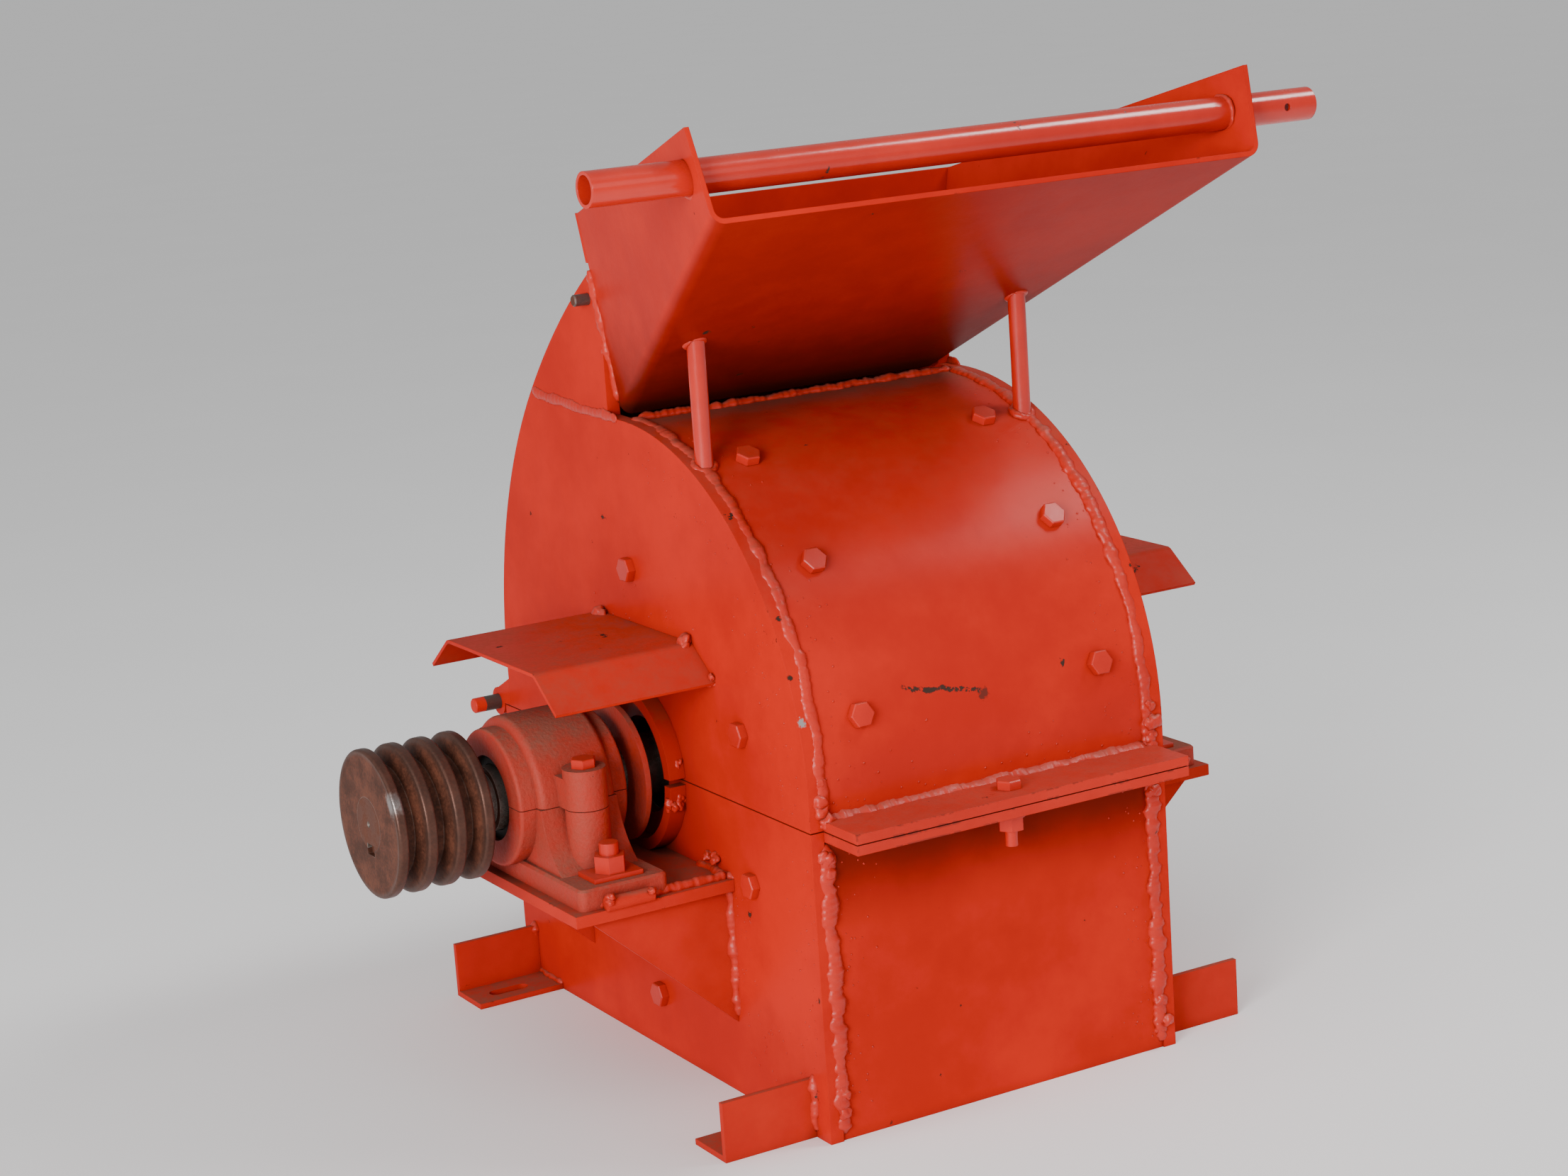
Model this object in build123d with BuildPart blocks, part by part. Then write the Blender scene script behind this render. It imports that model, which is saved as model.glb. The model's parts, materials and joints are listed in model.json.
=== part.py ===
from build123d import *
import math
import os

# Wood chipper: a swing-hammer mill in a split drum housing. The upper half hinges open at the back.
# Frame: X along the rotor shaft with the pulley at -X, -Y is the front with the flange bolt, +Z up.
# The origin is on the floor, below the middle of the shaft. All sizes are in millimetres.

# ---- driving sizes: housing ----
HOUSING_WIDTH = 342.0          # over the two side plates
HALF_DEPTH = 274.0             # shaft axis to the front edge of the side plates
SHAFT_Z = 258.0                # shaft axis and split plane above the floor
SPLIT_GAP = 1.0                # gap between the two halves, centred on the split plane
PLATE = 12.0                   # side plates
PANEL = 8.0                    # front and rear panels of the lower half
ROLLED_SHEET = 6.0             # curved covers of the upper half
REAR_SHEET = 5.0               # rolled cover of the upper half at the back
REAR_COVER_SHORT = 0.6         # degrees that the rear cover stops short of the throat plates' top
INSET = 2.0                    # panels and sheets sit this far inside the side plates' edges
FRONT_RISE = 23.0              # straight part of the front edge above the split plane
REAR_FACE = 263.0              # rear edge of the upper side plates at the split plane
REAR_RISE = 38.0               # straight part of the rear edge above the split plane
REAR_R = 405.0                 # rear edge of the upper side plates
THROAT_R = 632.0               # flatter rear edge of the throat plates, tangent to REAR_R
SPLICE_RISE = 304.0            # seam between side plate and throat plate, above the split plane
SHAFT_HOLE_R = 42.0            # hole in the side plates around the shaft

# ---- driving sizes: feed chute ----
CHUTE_SHEET = 4.0
CHUTE_BACK_Y = 18.0            # back edge of the chute, over the throat
CHUTE_FOOT_HALF = 158.0        # half widths of the chute: at its foot, its mouth and its top corner
CHUTE_MOUTH_HALF = 249.0
CHUTE_TOP_HALF = 256.0
CHUTE_REACH = 330.0            # shaft axis to the front lip
CHUTE_LIP_RISE = 190.0         # front lip above the chute's foot
CHUTE_SIDE = 70.0              # height of the wings at the lip
CHUTE_SIDE_RAKE = 21.0         # the wings' front edge leans back by this much
CHUTE_BACK_RISE = 172.0        # back corner of the wings above the chute's foot
FOLD_R = 11.0                  # outside radius of the folds between floor and wings
BAR_OD = 27.0
BAR_ID = 21.5
BAR_HALF = 330.0               # crossbar, half length
BAR_Y = -290.0
BAR_ABOVE_LIP = 32.0
BAR_PIN_HOLE = 6.0
BAR_PIN_HOLE_X = 300.0
WELD_FIT = 0.2                 # radial gap of pieces that are welded in a hole
STRUT_D = 15.0
STRUT_X = 155.0
STRUT_Y = -115.5

# ---- driving sizes: flanges, bolts, hinge ----
FLANGE = 8.0
FLANGE_WIDTH = 52.0
BOLT_D = 12.0
BOLT_FLATS = 19.0
BOLT_HEAD = 7.5
BOLT_HOLE = 13.5
HEAD_CHAMFER = 0.12            # corner of a bolt head, as a share of its height
NUT_HEIGHT = 10.8
FLANGE_BOLT_LENGTH = 48.0
THREAD_ROOT = 10.1             # threaded end of the flange bolt
NUT_BORE = 12.6                # flange nut, wide enough to pass the swinging bolt
FLANGE_WASHER = 6.5            # flat washer and spring washer together
FLANGE_WASHER_R = 12.0
PIN_CHAMFER = 1.0
LOWER_FLANGE_HOLE = 16.0
HINGE_Y = 289.0
HINGE_PIN_D = 14.0
HINGE_PIN_HALF = 197.0
HINGE_EYE_R = 13.0
HINGE_LUG = 12.0
RUN_FIT = 0.07                 # radial gap of a pin or shaft in its hole
SIDE_GAP = 2.0                 # axial gap between hinge lugs, and between moving plates
RAIL_DEPTH = 28.0              # bar that closes the top of the lower half at the back

# ---- driving sizes: liners and screen ----
LINER = 10.0
LINER_SHORT = 4.0              # degrees that the front liner stops short of the front cover's end
SIDE_LINER = 8.0
SIDE_LINER_R = 228.0
CURVED_FIT = 0.3               # gap between nested curved sheets
SCREEN_R = 231.0               # inside of the screen
SCREEN = 5.0
SCREEN_END = 8.0               # the screen stops this many degrees below the split plane
SCREEN_HOLE = 20.0
SCREEN_PITCH = 30.0            # along the shaft
SCREEN_STEP = 9.0              # degrees round the screen
LEDGE = 12.0
COVER_BOLT_X = 115.0
COVER_BOLT_ANGLES = (13.0, 40.0, 65.0)
UPPER_SIDE_BOLTS = ((0.0, 170.0), (-174.0, 61.0), (174.0, 61.0))      # from the shaft axis
LOWER_SIDE_BOLTS = ((0.0, -206.0), (-176.0, -65.0), (176.0, -65.0))

# ---- driving sizes: rotor ----
DRUM_SHAFT_D = 60.0
BEARING_SHAFT_D = 55.0
PULLEY_SHAFT_D = 45.0
DISC_R = 150.0
DISC = 10.0
DISC_COUNT = 4
DISC_SPAN = 270.0              # between the middles of the outer discs
HAMMER_PIN_D = 20.0
HAMMER_PIN_R = 126.0           # hammer pins from the shaft axis
HAMMER_TIP_R = 222.0
HAMMER_WIDTH = 40.0
HAMMER = 12.0
HAMMER_ROWS = 4
HAMMERS_START = 45.0           # degrees from +Y to the first pin
SLEEVE_R = 15.0
HAMMER_CLEAR = 1.0             # axial gap beside each hammer
HAMMER_STAGGER = 18.0          # every second row stands in from the discs, so that rows pass each other
DISC_END_GAP = 6.0             # outer disc to the shoulder of the shaft
PIN_HEAD_R = 14.0
PIN_HEAD = 4.0
PULLEY_R = 62.0
PULLEY_GAP = 24.0              # from the bearing housing to the pulley
PULLEY_GROOVES = 3
GROOVE_PITCH = 25.5
GROOVE_EDGE = 17.0             # outer groove to the pulley's face
GROOVE_TOP = 17.0
GROOVE_BOTTOM = 7.0
GROOVE_DEPTH = 16.0
RIDGE_ROUND = 2.5
KEY_WIDTH = 14.0
KEY_HEIGHT = 9.0
KEY_IN_SHAFT = 5.5
KEY_INSET = 4.0
KEY_FIT = 0.1
SHAFT_STEP = 4.0               # bearing housing to the step down to the pulley's size
SHAFT_CHAMFER = 1.5
CENTRE_HOLE_R = 5.0            # lathe centre in the shaft's end
CENTRE_HOLE_TIP = 0.1
CENTRE_HOLE_DEPTH = 10.0
FLINGER_R = 60.0
FLINGER = 5.0
FLINGER_GAP = 16.0             # from the bearing housing to the flinger disc
STUB = 27.0                    # free end of the shaft past the right-hand bearing

# ---- driving sizes: bearings and brackets ----
BEARING_X = 267.5              # middle of each bearing
CENTRE_HEIGHT = 68.0           # shaft axis above the bearing's foot
BEARING_BODY_WIDTH = 99.0
BEARING_SEAT_R = 55.0
BEARING_WALL = 11.0            # metal over the bearing
BEARING_BODY_R = BEARING_SEAT_R + BEARING_WALL
BEARING_END_STEP = 8.0         # the housing's ends are smaller than its main body by this
BEARING_END_R = BEARING_BODY_R - BEARING_END_STEP
BEARING_END = 15.0
BEARING_WIDTH = 28.0
RING = 9.0                     # radial thickness of the bearing's rings
SHIELD = 2.0
SHIELD_GAP = 0.6
HOUSING_WALL = 17.0
SEAL_R = 36.0
SEAL = 8.0
SEAL_GAP = 0.7
FOOT_LENGTH = 276.0
FOOT_WIDTH = 80.0
FOOT_THICK = 18.0
FOOT_CORNER = 6.0
FOOT_CHAMFER = 2.0
PEDESTAL_WIDTH = 70.0
PEDESTAL_HALF = 97.0
PEDESTAL_FLARE = 11.0          # the pedestal's curve passes this far outside the body
PEDESTAL_FLARE_DROP = 30.0     # at this depth below the shaft axis
BOSS_R = 18.0
BOSS_Y = 80.0
BOSS_TOP = 34.0                # above the split plane
CAP_SHOULDER = 26.0
CAP_GAP = 0.6
CAP_ROUND = 6.0
BASE_BOLT_Y = 114.0
BASE_BOLT_D = 16.0
BASE_BOLT_FLATS = 24.0
BASE_BOLT_HEAD = 10.0
BASE_NUT = 14.0
BASE_HOLE = 18.0
WASHER_LENGTH = 44.0           # rectangular washers, along the shaft and across it
WASHER_WIDTH = 30.0
WASHER = 4.0
THREAD_STANDS = 10.0           # bolt end past its nut
SEAT_GAP = 0.05                # keeps a nut and its washer separate solids
CAP_BOLT_DEPTH = 60.0
THREAD_RUNOUT = 2.0            # tapped hole below the end of its bolt
BRACKET = 10.0
BRACKET_REACH = 145.0
BRACKET_HALF = 144.0
GUSSET = 8.0
GUSSET_HALF = 134.5            # outer faces of the gussets from the shaft axis
GUSSET_REACH = 129.0
GUSSET_DROP = 116.0
STOP_R = 6.0
STOP_LENGTH = 42.0
STOP_SINK = 1.2                # stop bars sunk in their weld
COLLAR_R = 72.0
COLLAR_BORE = 62.0
COLLAR = 15.0
COLLAR_GAP = 3.0               # from the split plane

# ---- driving sizes: guards, feet, flap ----
GUARD_SHEET = 3.0
GUARD_REACH = 144.0
GUARD_TOP = 124.0              # above the shaft axis
GUARD_CENTRE_Y = -19.0
GUARD_HALF_FLAT = 82.0
GUARD_LIP_OUT = 36.0
GUARD_LIP_DOWN = 27.0
GUARD_BEND_R = 10.0
ANGLE = 50.0
ANGLE_THICK = 5.0
FOOT_REACH = 84.0
FOOT_Y = 252.0
SLOT_WIDTH = 13.0
SLOT_LENGTH = 38.0
SLOT_X = 217.0
SLOT_INSET = 30.0
FLAP_PIN_D = 10.0
FLAP_PIN_Y = 38.0
FLAP_PIN_RISE = 395.0          # above the split plane
FLAP_PIN_STANDS = 14.0
FLAP_SHEET = 5.0
FLAP_LENGTH = 90.0
FLAP_EYE_R = 8.0
FLAP_SIDE_GAP = 4.0
OVERLAP = 1.0                  # shapes that join, or cut an open side, reach this far past each other

# ---- places worked out from the sizes ----
HALF_WIDTH = HOUSING_WIDTH / 2
INNER_HALF = HALF_WIDTH - PLATE
LOWER_TOP = SHAFT_Z - SPLIT_GAP / 2
UPPER_BOTTOM = SHAFT_Z + SPLIT_GAP / 2
FRONT_ARC_Z = SHAFT_Z + FRONT_RISE
REAR_ARC_Y = REAR_FACE - REAR_R
REAR_ARC_Z = SHAFT_Z + REAR_RISE
SPLICE_ANGLE = math.degrees(math.asin((SHAFT_Z + SPLICE_RISE - REAR_ARC_Z) / REAR_R))
THROAT_ARC_Y = REAR_ARC_Y - (THROAT_R - REAR_R) * math.cos(math.radians(SPLICE_ANGLE))
THROAT_ARC_Z = REAR_ARC_Z - (THROAT_R - REAR_R) * math.sin(math.radians(SPLICE_ANGLE))
SHEET_FRONT = HALF_DEPTH - INSET
CHUTE_FOOT_Z = FRONT_ARC_Z + HALF_DEPTH
CHUTE_LIP_Z = CHUTE_FOOT_Z + CHUTE_LIP_RISE
CHUTE_BACK_Z = CHUTE_FOOT_Z + CHUTE_BACK_RISE
BAR_Z = CHUTE_LIP_Z + BAR_ABOVE_LIP
FLANGE_BOLT_Y = -(SHEET_FRONT + FLANGE_WIDTH / 2)
BEARING_FOOT_Z = SHAFT_Z - CENTRE_HEIGHT
FLAP_PIN_Z = SHAFT_Z + FLAP_PIN_RISE
DISC_GAP = DISC_SPAN / (DISC_COUNT - 1) - DISC
PULLEY_WIDTH = (PULLEY_GROOVES - 1) * GROOVE_PITCH + 2 * GROOVE_EDGE
BEARING_OUTER_X = BEARING_X + BEARING_BODY_WIDTH / 2
PULLEY_INNER_X = -(BEARING_OUTER_X + PULLEY_GAP)
PULLEY_OUTER_X = PULLEY_INNER_X - PULLEY_WIDTH
PULLEY_MIDDLE_X = (PULLEY_INNER_X + PULLEY_OUTER_X) / 2
SHAFT_AXIS = Axis((0, 0, SHAFT_Z), (1, 0, 0))


def polar(centre, radius, degrees):
    """Point on a circle in the YZ plane, as sketch coordinates."""
    turn = math.radians(degrees)
    return (centre[0] + radius * math.cos(turn), centre[1] + radius * math.sin(turn))


FRONT_CENTRE = (0.0, FRONT_ARC_Z)
REAR_CENTRE = (REAR_ARC_Y, REAR_ARC_Z)
THROAT_CENTRE = (THROAT_ARC_Y, THROAT_ARC_Z)
SPLICE_POINT = polar(REAR_CENTRE, REAR_R, SPLICE_ANGLE)
THROAT_TOP_ANGLE = math.degrees(math.acos((CHUTE_BACK_Y - THROAT_ARC_Y) / THROAT_R))
THROAT_TOP = polar(THROAT_CENTRE, THROAT_R, THROAT_TOP_ANGLE)
SEAM_SLOPE = (SPLICE_POINT[1] - CHUTE_FOOT_Z) / SPLICE_POINT[0]


def hex_bolt(flats, head, diameter, length, root=None, plain=0.0):
    """Hexagon bolt along Z: underside of the head at Z0, shank downwards."""
    with BuildPart() as bolt:
        with BuildSketch(Plane.XY):
            RegularPolygon(radius=flats / 2, side_count=6, major_radius=False)
        extrude(amount=head)
        chamfer(bolt.edges().group_by(Axis.Z)[-1], length=head * HEAD_CHAMFER)
        with BuildSketch(Plane.XY):
            Circle(diameter / 2)
        extrude(amount=-(plain if root else length))
        if root:
            with BuildSketch(Plane.XY.offset(-plain)):
                Circle(root / 2)
            extrude(amount=-(length - plain))
    return bolt.part


def hex_nut(flats, height, bore):
    """Hexagon nut along Z, standing on Z0."""
    with BuildPart() as nut:
        with BuildSketch(Plane.XY):
            RegularPolygon(radius=flats / 2, side_count=6, major_radius=False)
            Circle(bore / 2, mode=Mode.SUBTRACT)
        extrude(amount=height)
    return nut.part


def side_holes(places):
    """Bolt holes of a side plate or liner, cut in the current YZ sketch."""
    with Locations(*[(y, SHAFT_Z + z) for y, z in places]):
        Circle(BOLT_HOLE / 2, mode=Mode.SUBTRACT)


# ==== lower half of the housing ====
with BuildPart() as side_plate_lower_left:
    with BuildSketch(Plane.YZ.offset(-HALF_WIDTH)):
        with Locations((0, LOWER_TOP / 2)):
            Rectangle(2 * HALF_DEPTH, LOWER_TOP)
        with Locations((0, SHAFT_Z)):
            Circle(SHAFT_HOLE_R, mode=Mode.SUBTRACT)
        side_holes(LOWER_SIDE_BOLTS)
    extrude(amount=PLATE)

with BuildPart() as side_plate_lower_right:
    mirror(side_plate_lower_left.part, about=Plane.YZ)

with BuildPart() as front_panel:
    with BuildSketch(Plane.XZ.offset(SHEET_FRONT)):
        with Locations((0, LOWER_TOP / 2)):
            Rectangle(2 * INNER_HALF, LOWER_TOP)
    extrude(amount=-PANEL)

with BuildPart() as rear_panel:
    with BuildSketch(Plane.XZ.offset(-SHEET_FRONT)):
        with Locations((0, (LOWER_TOP - FLANGE) / 2)):
            Rectangle(2 * INNER_HALF, LOWER_TOP - FLANGE)
    extrude(amount=PANEL)

with BuildPart() as lower_flange:
    with BuildSketch(Plane.XY.offset(LOWER_TOP)):
        with Locations((0, FLANGE_BOLT_Y)):
            Rectangle(2 * INNER_HALF, FLANGE_WIDTH)
            Circle(LOWER_FLANGE_HOLE / 2, mode=Mode.SUBTRACT)
    extrude(amount=-FLANGE)

# The rail closes the step between the rear panel and the rear cover, and carries two hinge lugs.
LUG_X = INNER_HALF - SIDE_GAP - HINGE_LUG
with BuildPart() as hinge_rail:
    with BuildSketch(Plane.XY.offset(LOWER_TOP)):
        with Locations((0, SHEET_FRONT - RAIL_DEPTH / 2)):
            Rectangle(2 * INNER_HALF, RAIL_DEPTH)
    extrude(amount=-FLANGE)
    for lug_x in (-LUG_X - HINGE_LUG, LUG_X):
        with BuildSketch(Plane.YZ.offset(lug_x)):
            with Locations((HINGE_Y, SHAFT_Z)):
                Circle(HINGE_EYE_R)
            with BuildLine():
                Polyline(
                    (SHEET_FRONT, LOWER_TOP),
                    (HINGE_Y, LOWER_TOP),
                    (HINGE_Y, SHAFT_Z - HINGE_EYE_R),
                    (SHEET_FRONT, SHAFT_Z - 2 * HINGE_EYE_R),
                    close=True,
                )
            make_face()
            with Locations((HINGE_Y, SHAFT_Z)):
                Circle(HINGE_PIN_D / 2 + RUN_FIT, mode=Mode.SUBTRACT)
        extrude(amount=HINGE_LUG)

with BuildPart() as hinge_pin:
    with BuildSketch(Plane.YZ.offset(-HINGE_PIN_HALF)):
        with Locations((HINGE_Y, SHAFT_Z)):
            Circle(HINGE_PIN_D / 2)
    extrude(amount=2 * HINGE_PIN_HALF)
    chamfer(hinge_pin.edges(), length=PIN_CHAMFER)

# The nut presses a flat and a spring washer, made here as one ring, against the lower flange.
with BuildPart() as flange_nut:
    nut_top = LOWER_TOP - FLANGE - FLANGE_WASHER - SEAT_GAP
    with Locations((0, FLANGE_BOLT_Y, nut_top - NUT_HEIGHT)):
        add(hex_nut(BOLT_FLATS, NUT_HEIGHT, NUT_BORE))
    with BuildSketch(Plane.XY.offset(LOWER_TOP - FLANGE)):
        with Locations((0, FLANGE_BOLT_Y)):
            Circle(FLANGE_WASHER_R)
            Circle(BOLT_HOLE / 2, mode=Mode.SUBTRACT)
    extrude(amount=-FLANGE_WASHER)

# ==== liners and screen of the lower half ====
side_bolt = hex_bolt(BOLT_FLATS, BOLT_HEAD, BOLT_D, PLATE + SIDE_LINER)


def bolts_in_sides(places):
    """Bolts through both side plates, heads outside."""
    for sign in (-1, 1):
        for y, z in places:
            at = Plane(origin=(sign * HALF_WIDTH, y, SHAFT_Z + z), x_dir=(0, 1, 0), z_dir=(sign, 0, 0))
            with Locations(at.location):
                add(side_bolt)


def half_liners(places, lower):
    """Two flat liners inside the side plates, above or below the split plane."""
    edge = LOWER_TOP + SIDE_LINER_R if lower else UPPER_BOTTOM - SIDE_LINER_R
    with BuildPart() as liners:
        for face_x in (-INNER_HALF, INNER_HALF - SIDE_LINER):
            with BuildSketch(Plane.YZ.offset(face_x)):
                with Locations((0, SHAFT_Z)):
                    Circle(SIDE_LINER_R)
                with Locations((0, edge)):
                    Rectangle(2 * SIDE_LINER_R, 2 * SIDE_LINER_R, mode=Mode.SUBTRACT)
                with Locations((0, SHAFT_Z)):
                    Circle(SHAFT_HOLE_R, mode=Mode.SUBTRACT)
                with Locations(*[(y, SHAFT_Z + z) for y, z in places]):
                    Circle(BOLT_D / 2, mode=Mode.SUBTRACT)
            extrude(amount=SIDE_LINER)
    return liners


lower_side_liners = half_liners(LOWER_SIDE_BOLTS, True)

with BuildPart() as lower_side_bolts:
    bolts_in_sides(LOWER_SIDE_BOLTS)


def arc_band(x, width, inner, outer):
    """Part of a pipe about the shaft axis, as wide as the screen's arc, from X to X plus its width."""
    with BuildPart() as band:
        with BuildSketch(Plane.YZ.offset(x)):
            with BuildLine():
                outside = CenterArc((0, SHAFT_Z), outer, 180 + SCREEN_END, SCREEN_SWEEP)
                inside = CenterArc((0, SHAFT_Z), inner, 180 + SCREEN_END, SCREEN_SWEEP)
                Line(outside @ 0, inside @ 0)
                Line(outside @ 1, inside @ 1)
            make_face()
        extrude(amount=width)
    return band.part


SCREEN_OUT = SCREEN_R + SCREEN
SCREEN_SWEEP = 180.0 - 2 * SCREEN_END
hole_rows = int((SCREEN_SWEEP - SCREEN_STEP) // SCREEN_STEP)
hole_columns = int((2 * INNER_HALF - 2 * LEDGE - SCREEN_HOLE) // SCREEN_PITCH) + 1
with BuildPart() as screen:
    add(arc_band(-INNER_HALF, 2 * INNER_HALF, SCREEN_R, SCREEN_OUT))
    screen_places = []
    for row in range(hole_rows):
        turn = math.radians(270 + (row - (hole_rows - 1) / 2) * SCREEN_STEP)
        for column in range(hole_columns - row % 2):
            hole_x = (column - (hole_columns - 1 - row % 2) / 2) * SCREEN_PITCH
            outward = (0, math.cos(turn), math.sin(turn))
            middle = (hole_x, SCREEN_R * outward[1], SHAFT_Z + SCREEN_R * outward[2])
            screen_places.append(Plane(origin=middle, x_dir=(1, 0, 0), z_dir=outward).location)
    with Locations(*screen_places):
        Cylinder(SCREEN_HOLE / 2, 4 * SCREEN, mode=Mode.SUBTRACT)

with BuildPart() as screen_ledges:
    for ledge_x in (-INNER_HALF, INNER_HALF - LEDGE):
        add(arc_band(ledge_x, LEDGE, SCREEN_OUT, SCREEN_OUT + LEDGE))

# ==== bearing brackets ====
with BuildPart() as bracket_left:
    with BuildSketch(Plane.XY.offset(BEARING_FOOT_Z)):
        with Locations((-HALF_WIDTH - BRACKET_REACH / 2, 0)):
            Rectangle(BRACKET_REACH, 2 * BRACKET_HALF)
        with Locations((-BEARING_X, -BASE_BOLT_Y), (-BEARING_X, BASE_BOLT_Y)):
            Circle(BASE_HOLE / 2, mode=Mode.SUBTRACT)
    extrude(amount=-BRACKET)
    for gusset_y in (GUSSET_HALF, -GUSSET_HALF + GUSSET):
        with BuildSketch(Plane.XZ.offset(-gusset_y)):
            with BuildLine():
                Polyline(
                    (-HALF_WIDTH, BEARING_FOOT_Z - BRACKET),
                    (-HALF_WIDTH - GUSSET_REACH, BEARING_FOOT_Z - BRACKET),
                    (-HALF_WIDTH, BEARING_FOOT_Z - BRACKET - GUSSET_DROP),
                    close=True,
                )
            make_face()
        extrude(amount=GUSSET)
    for end in (-1, 1):
        with BuildSketch(Plane.YZ.offset(-BEARING_X - STOP_LENGTH / 2)):
            with Locations((end * (FOOT_LENGTH / 2 + STOP_R), BEARING_FOOT_Z + STOP_R - STOP_SINK)):
                Circle(STOP_R)
        extrude(amount=STOP_LENGTH)
    with Locations((-HALF_WIDTH - COLLAR / 2, 0, SHAFT_Z)):
        Cylinder(
            COLLAR_R + CURVED_FIT,
            COLLAR + 2 * CURVED_FIT,
            rotation=(0, 90, 0),
            mode=Mode.SUBTRACT,
        )

with BuildPart() as bracket_right:
    mirror(bracket_left.part, about=Plane.YZ)


# ==== split bearing housings ====
def bearing_body(centre_x):
    """Round body of a bearing housing with a smaller, rounded end on each side."""
    with BuildPart() as body:
        with BuildSketch(Plane.YZ.offset(centre_x - BEARING_BODY_WIDTH / 2)):
            with Locations((0, SHAFT_Z)):
                Circle(BEARING_END_R)
        extrude(amount=BEARING_BODY_WIDTH)
        with BuildSketch(Plane.YZ.offset(centre_x - BEARING_BODY_WIDTH / 2 + BEARING_END)):
            with Locations((0, SHAFT_Z)):
                Circle(BEARING_BODY_R)
        extrude(amount=BEARING_BODY_WIDTH - 2 * BEARING_END)
        rims = body.edges().filter_by(GeomType.CIRCLE).group_by(Axis.X)
        fillet(rims[0] + rims[-1], radius=CAP_ROUND / 2)
        shoulders = body.edges().filter_by(
            lambda e: e.geom_type == GeomType.CIRCLE and e.radius > BEARING_END_R
        )
        fillet(shoulders, radius=CAP_ROUND)
    return body.part


def bearing_base(centre_x):
    """Lower half of a bearing housing: foot, pedestal, half body and two bolt bosses."""
    with BuildPart() as base:
        with BuildSketch(Plane.XY.offset(BEARING_FOOT_Z)):
            with Locations((centre_x, 0)):
                RectangleRounded(FOOT_WIDTH, FOOT_LENGTH, FOOT_CORNER)
        extrude(amount=FOOT_THICK)
        chamfer(base.edges().group_by(Axis.Z)[-1], length=FOOT_CHAMFER)
        root = BEARING_FOOT_Z + FOOT_THICK - OVERLAP
        with BuildSketch(Plane.YZ.offset(centre_x - PEDESTAL_WIDTH / 2)):
            with BuildLine():
                right_side = ThreePointArc(
                    (PEDESTAL_HALF, root),
                    (BEARING_BODY_R + PEDESTAL_FLARE, SHAFT_Z - PEDESTAL_FLARE_DROP),
                    (BEARING_BODY_R, SHAFT_Z),
                )
                left_side = mirror(right_side, about=Plane.YZ)
                Line((-PEDESTAL_HALF, root), (PEDESTAL_HALF, root))
                Line((-BEARING_BODY_R, SHAFT_Z), (BEARING_BODY_R, SHAFT_Z))
            make_face()
        extrude(amount=PEDESTAL_WIDTH)
        add(bearing_body(centre_x))
        with BuildSketch(Plane.XY.offset(root)):
            with Locations((centre_x, -BOSS_Y), (centre_x, BOSS_Y)):
                Circle(BOSS_R)
        extrude(amount=SHAFT_Z - root)
        with BuildSketch(Plane.XY.offset(SHAFT_Z)):
            with Locations((centre_x, 0)):
                Rectangle(BEARING_BODY_WIDTH + OVERLAP, FOOT_LENGTH)
        extrude(amount=BEARING_BODY_R + OVERLAP, mode=Mode.SUBTRACT)
        add(bearing_cavity(centre_x), mode=Mode.SUBTRACT)
        with BuildSketch(Plane.XY.offset(SHAFT_Z)):
            with Locations((centre_x, -BOSS_Y), (centre_x, BOSS_Y)):
                Circle(BOLT_D / 2)
        extrude(amount=-(CAP_BOLT_DEPTH - BOSS_TOP + THREAD_RUNOUT), mode=Mode.SUBTRACT)
        with BuildSketch(Plane.XY.offset(BEARING_FOOT_Z)):
            with Locations((centre_x, -BASE_BOLT_Y), (centre_x, BASE_BOLT_Y)):
                Circle(BASE_HOLE / 2)
        extrude(amount=FOOT_THICK, mode=Mode.SUBTRACT)
    return base


def bearing_cavity(centre_x):
    """The bearing seat and the shaft holes in the end walls, as one round core to cut away."""
    with BuildPart() as core:
        with BuildSketch(Plane.YZ.offset(centre_x - BEARING_BODY_WIDTH / 2 + HOUSING_WALL)):
            with Locations((0, SHAFT_Z)):
                Circle(BEARING_SEAT_R)
        extrude(amount=BEARING_BODY_WIDTH - 2 * HOUSING_WALL)
        with BuildSketch(Plane.YZ.offset(centre_x - BEARING_BODY_WIDTH / 2)):
            with Locations((0, SHAFT_Z)):
                Circle(SEAL_R)
        extrude(amount=BEARING_BODY_WIDTH)
    return core.part


def bearing_cap(centre_x):
    """Upper half of a bearing housing, with a shoulder that carries the two cap bolts."""
    with BuildPart() as cap:
        add(bearing_body(centre_x))
        with BuildSketch(Plane.XY.offset(SHAFT_Z)):
            with Locations((centre_x, -BOSS_Y), (centre_x, BOSS_Y)):
                Circle(BOSS_R)
        extrude(amount=BOSS_TOP)
        with BuildSketch(Plane.XY.offset(SHAFT_Z)):
            with Locations((centre_x, 0)):
                Rectangle(2 * BOSS_R, 2 * BOSS_Y)
        extrude(amount=CAP_SHOULDER)
        with BuildSketch(Plane.XY.offset(SHAFT_Z + CAP_GAP)):
            with Locations((centre_x, 0)):
                Rectangle(BEARING_BODY_WIDTH + OVERLAP, FOOT_LENGTH)
        extrude(amount=-BEARING_BODY_R - OVERLAP, mode=Mode.SUBTRACT)
        add(bearing_cavity(centre_x), mode=Mode.SUBTRACT)
        with BuildSketch(Plane.XY.offset(SHAFT_Z)):
            with Locations((centre_x, -BOSS_Y), (centre_x, BOSS_Y)):
                Circle(BOLT_HOLE / 2)
        extrude(amount=BOSS_TOP, mode=Mode.SUBTRACT)
    return cap


bearing_base_left = bearing_base(-BEARING_X)
bearing_base_right = bearing_base(BEARING_X)
bearing_cap_left = bearing_cap(-BEARING_X)
bearing_cap_right = bearing_cap(BEARING_X)

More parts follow.
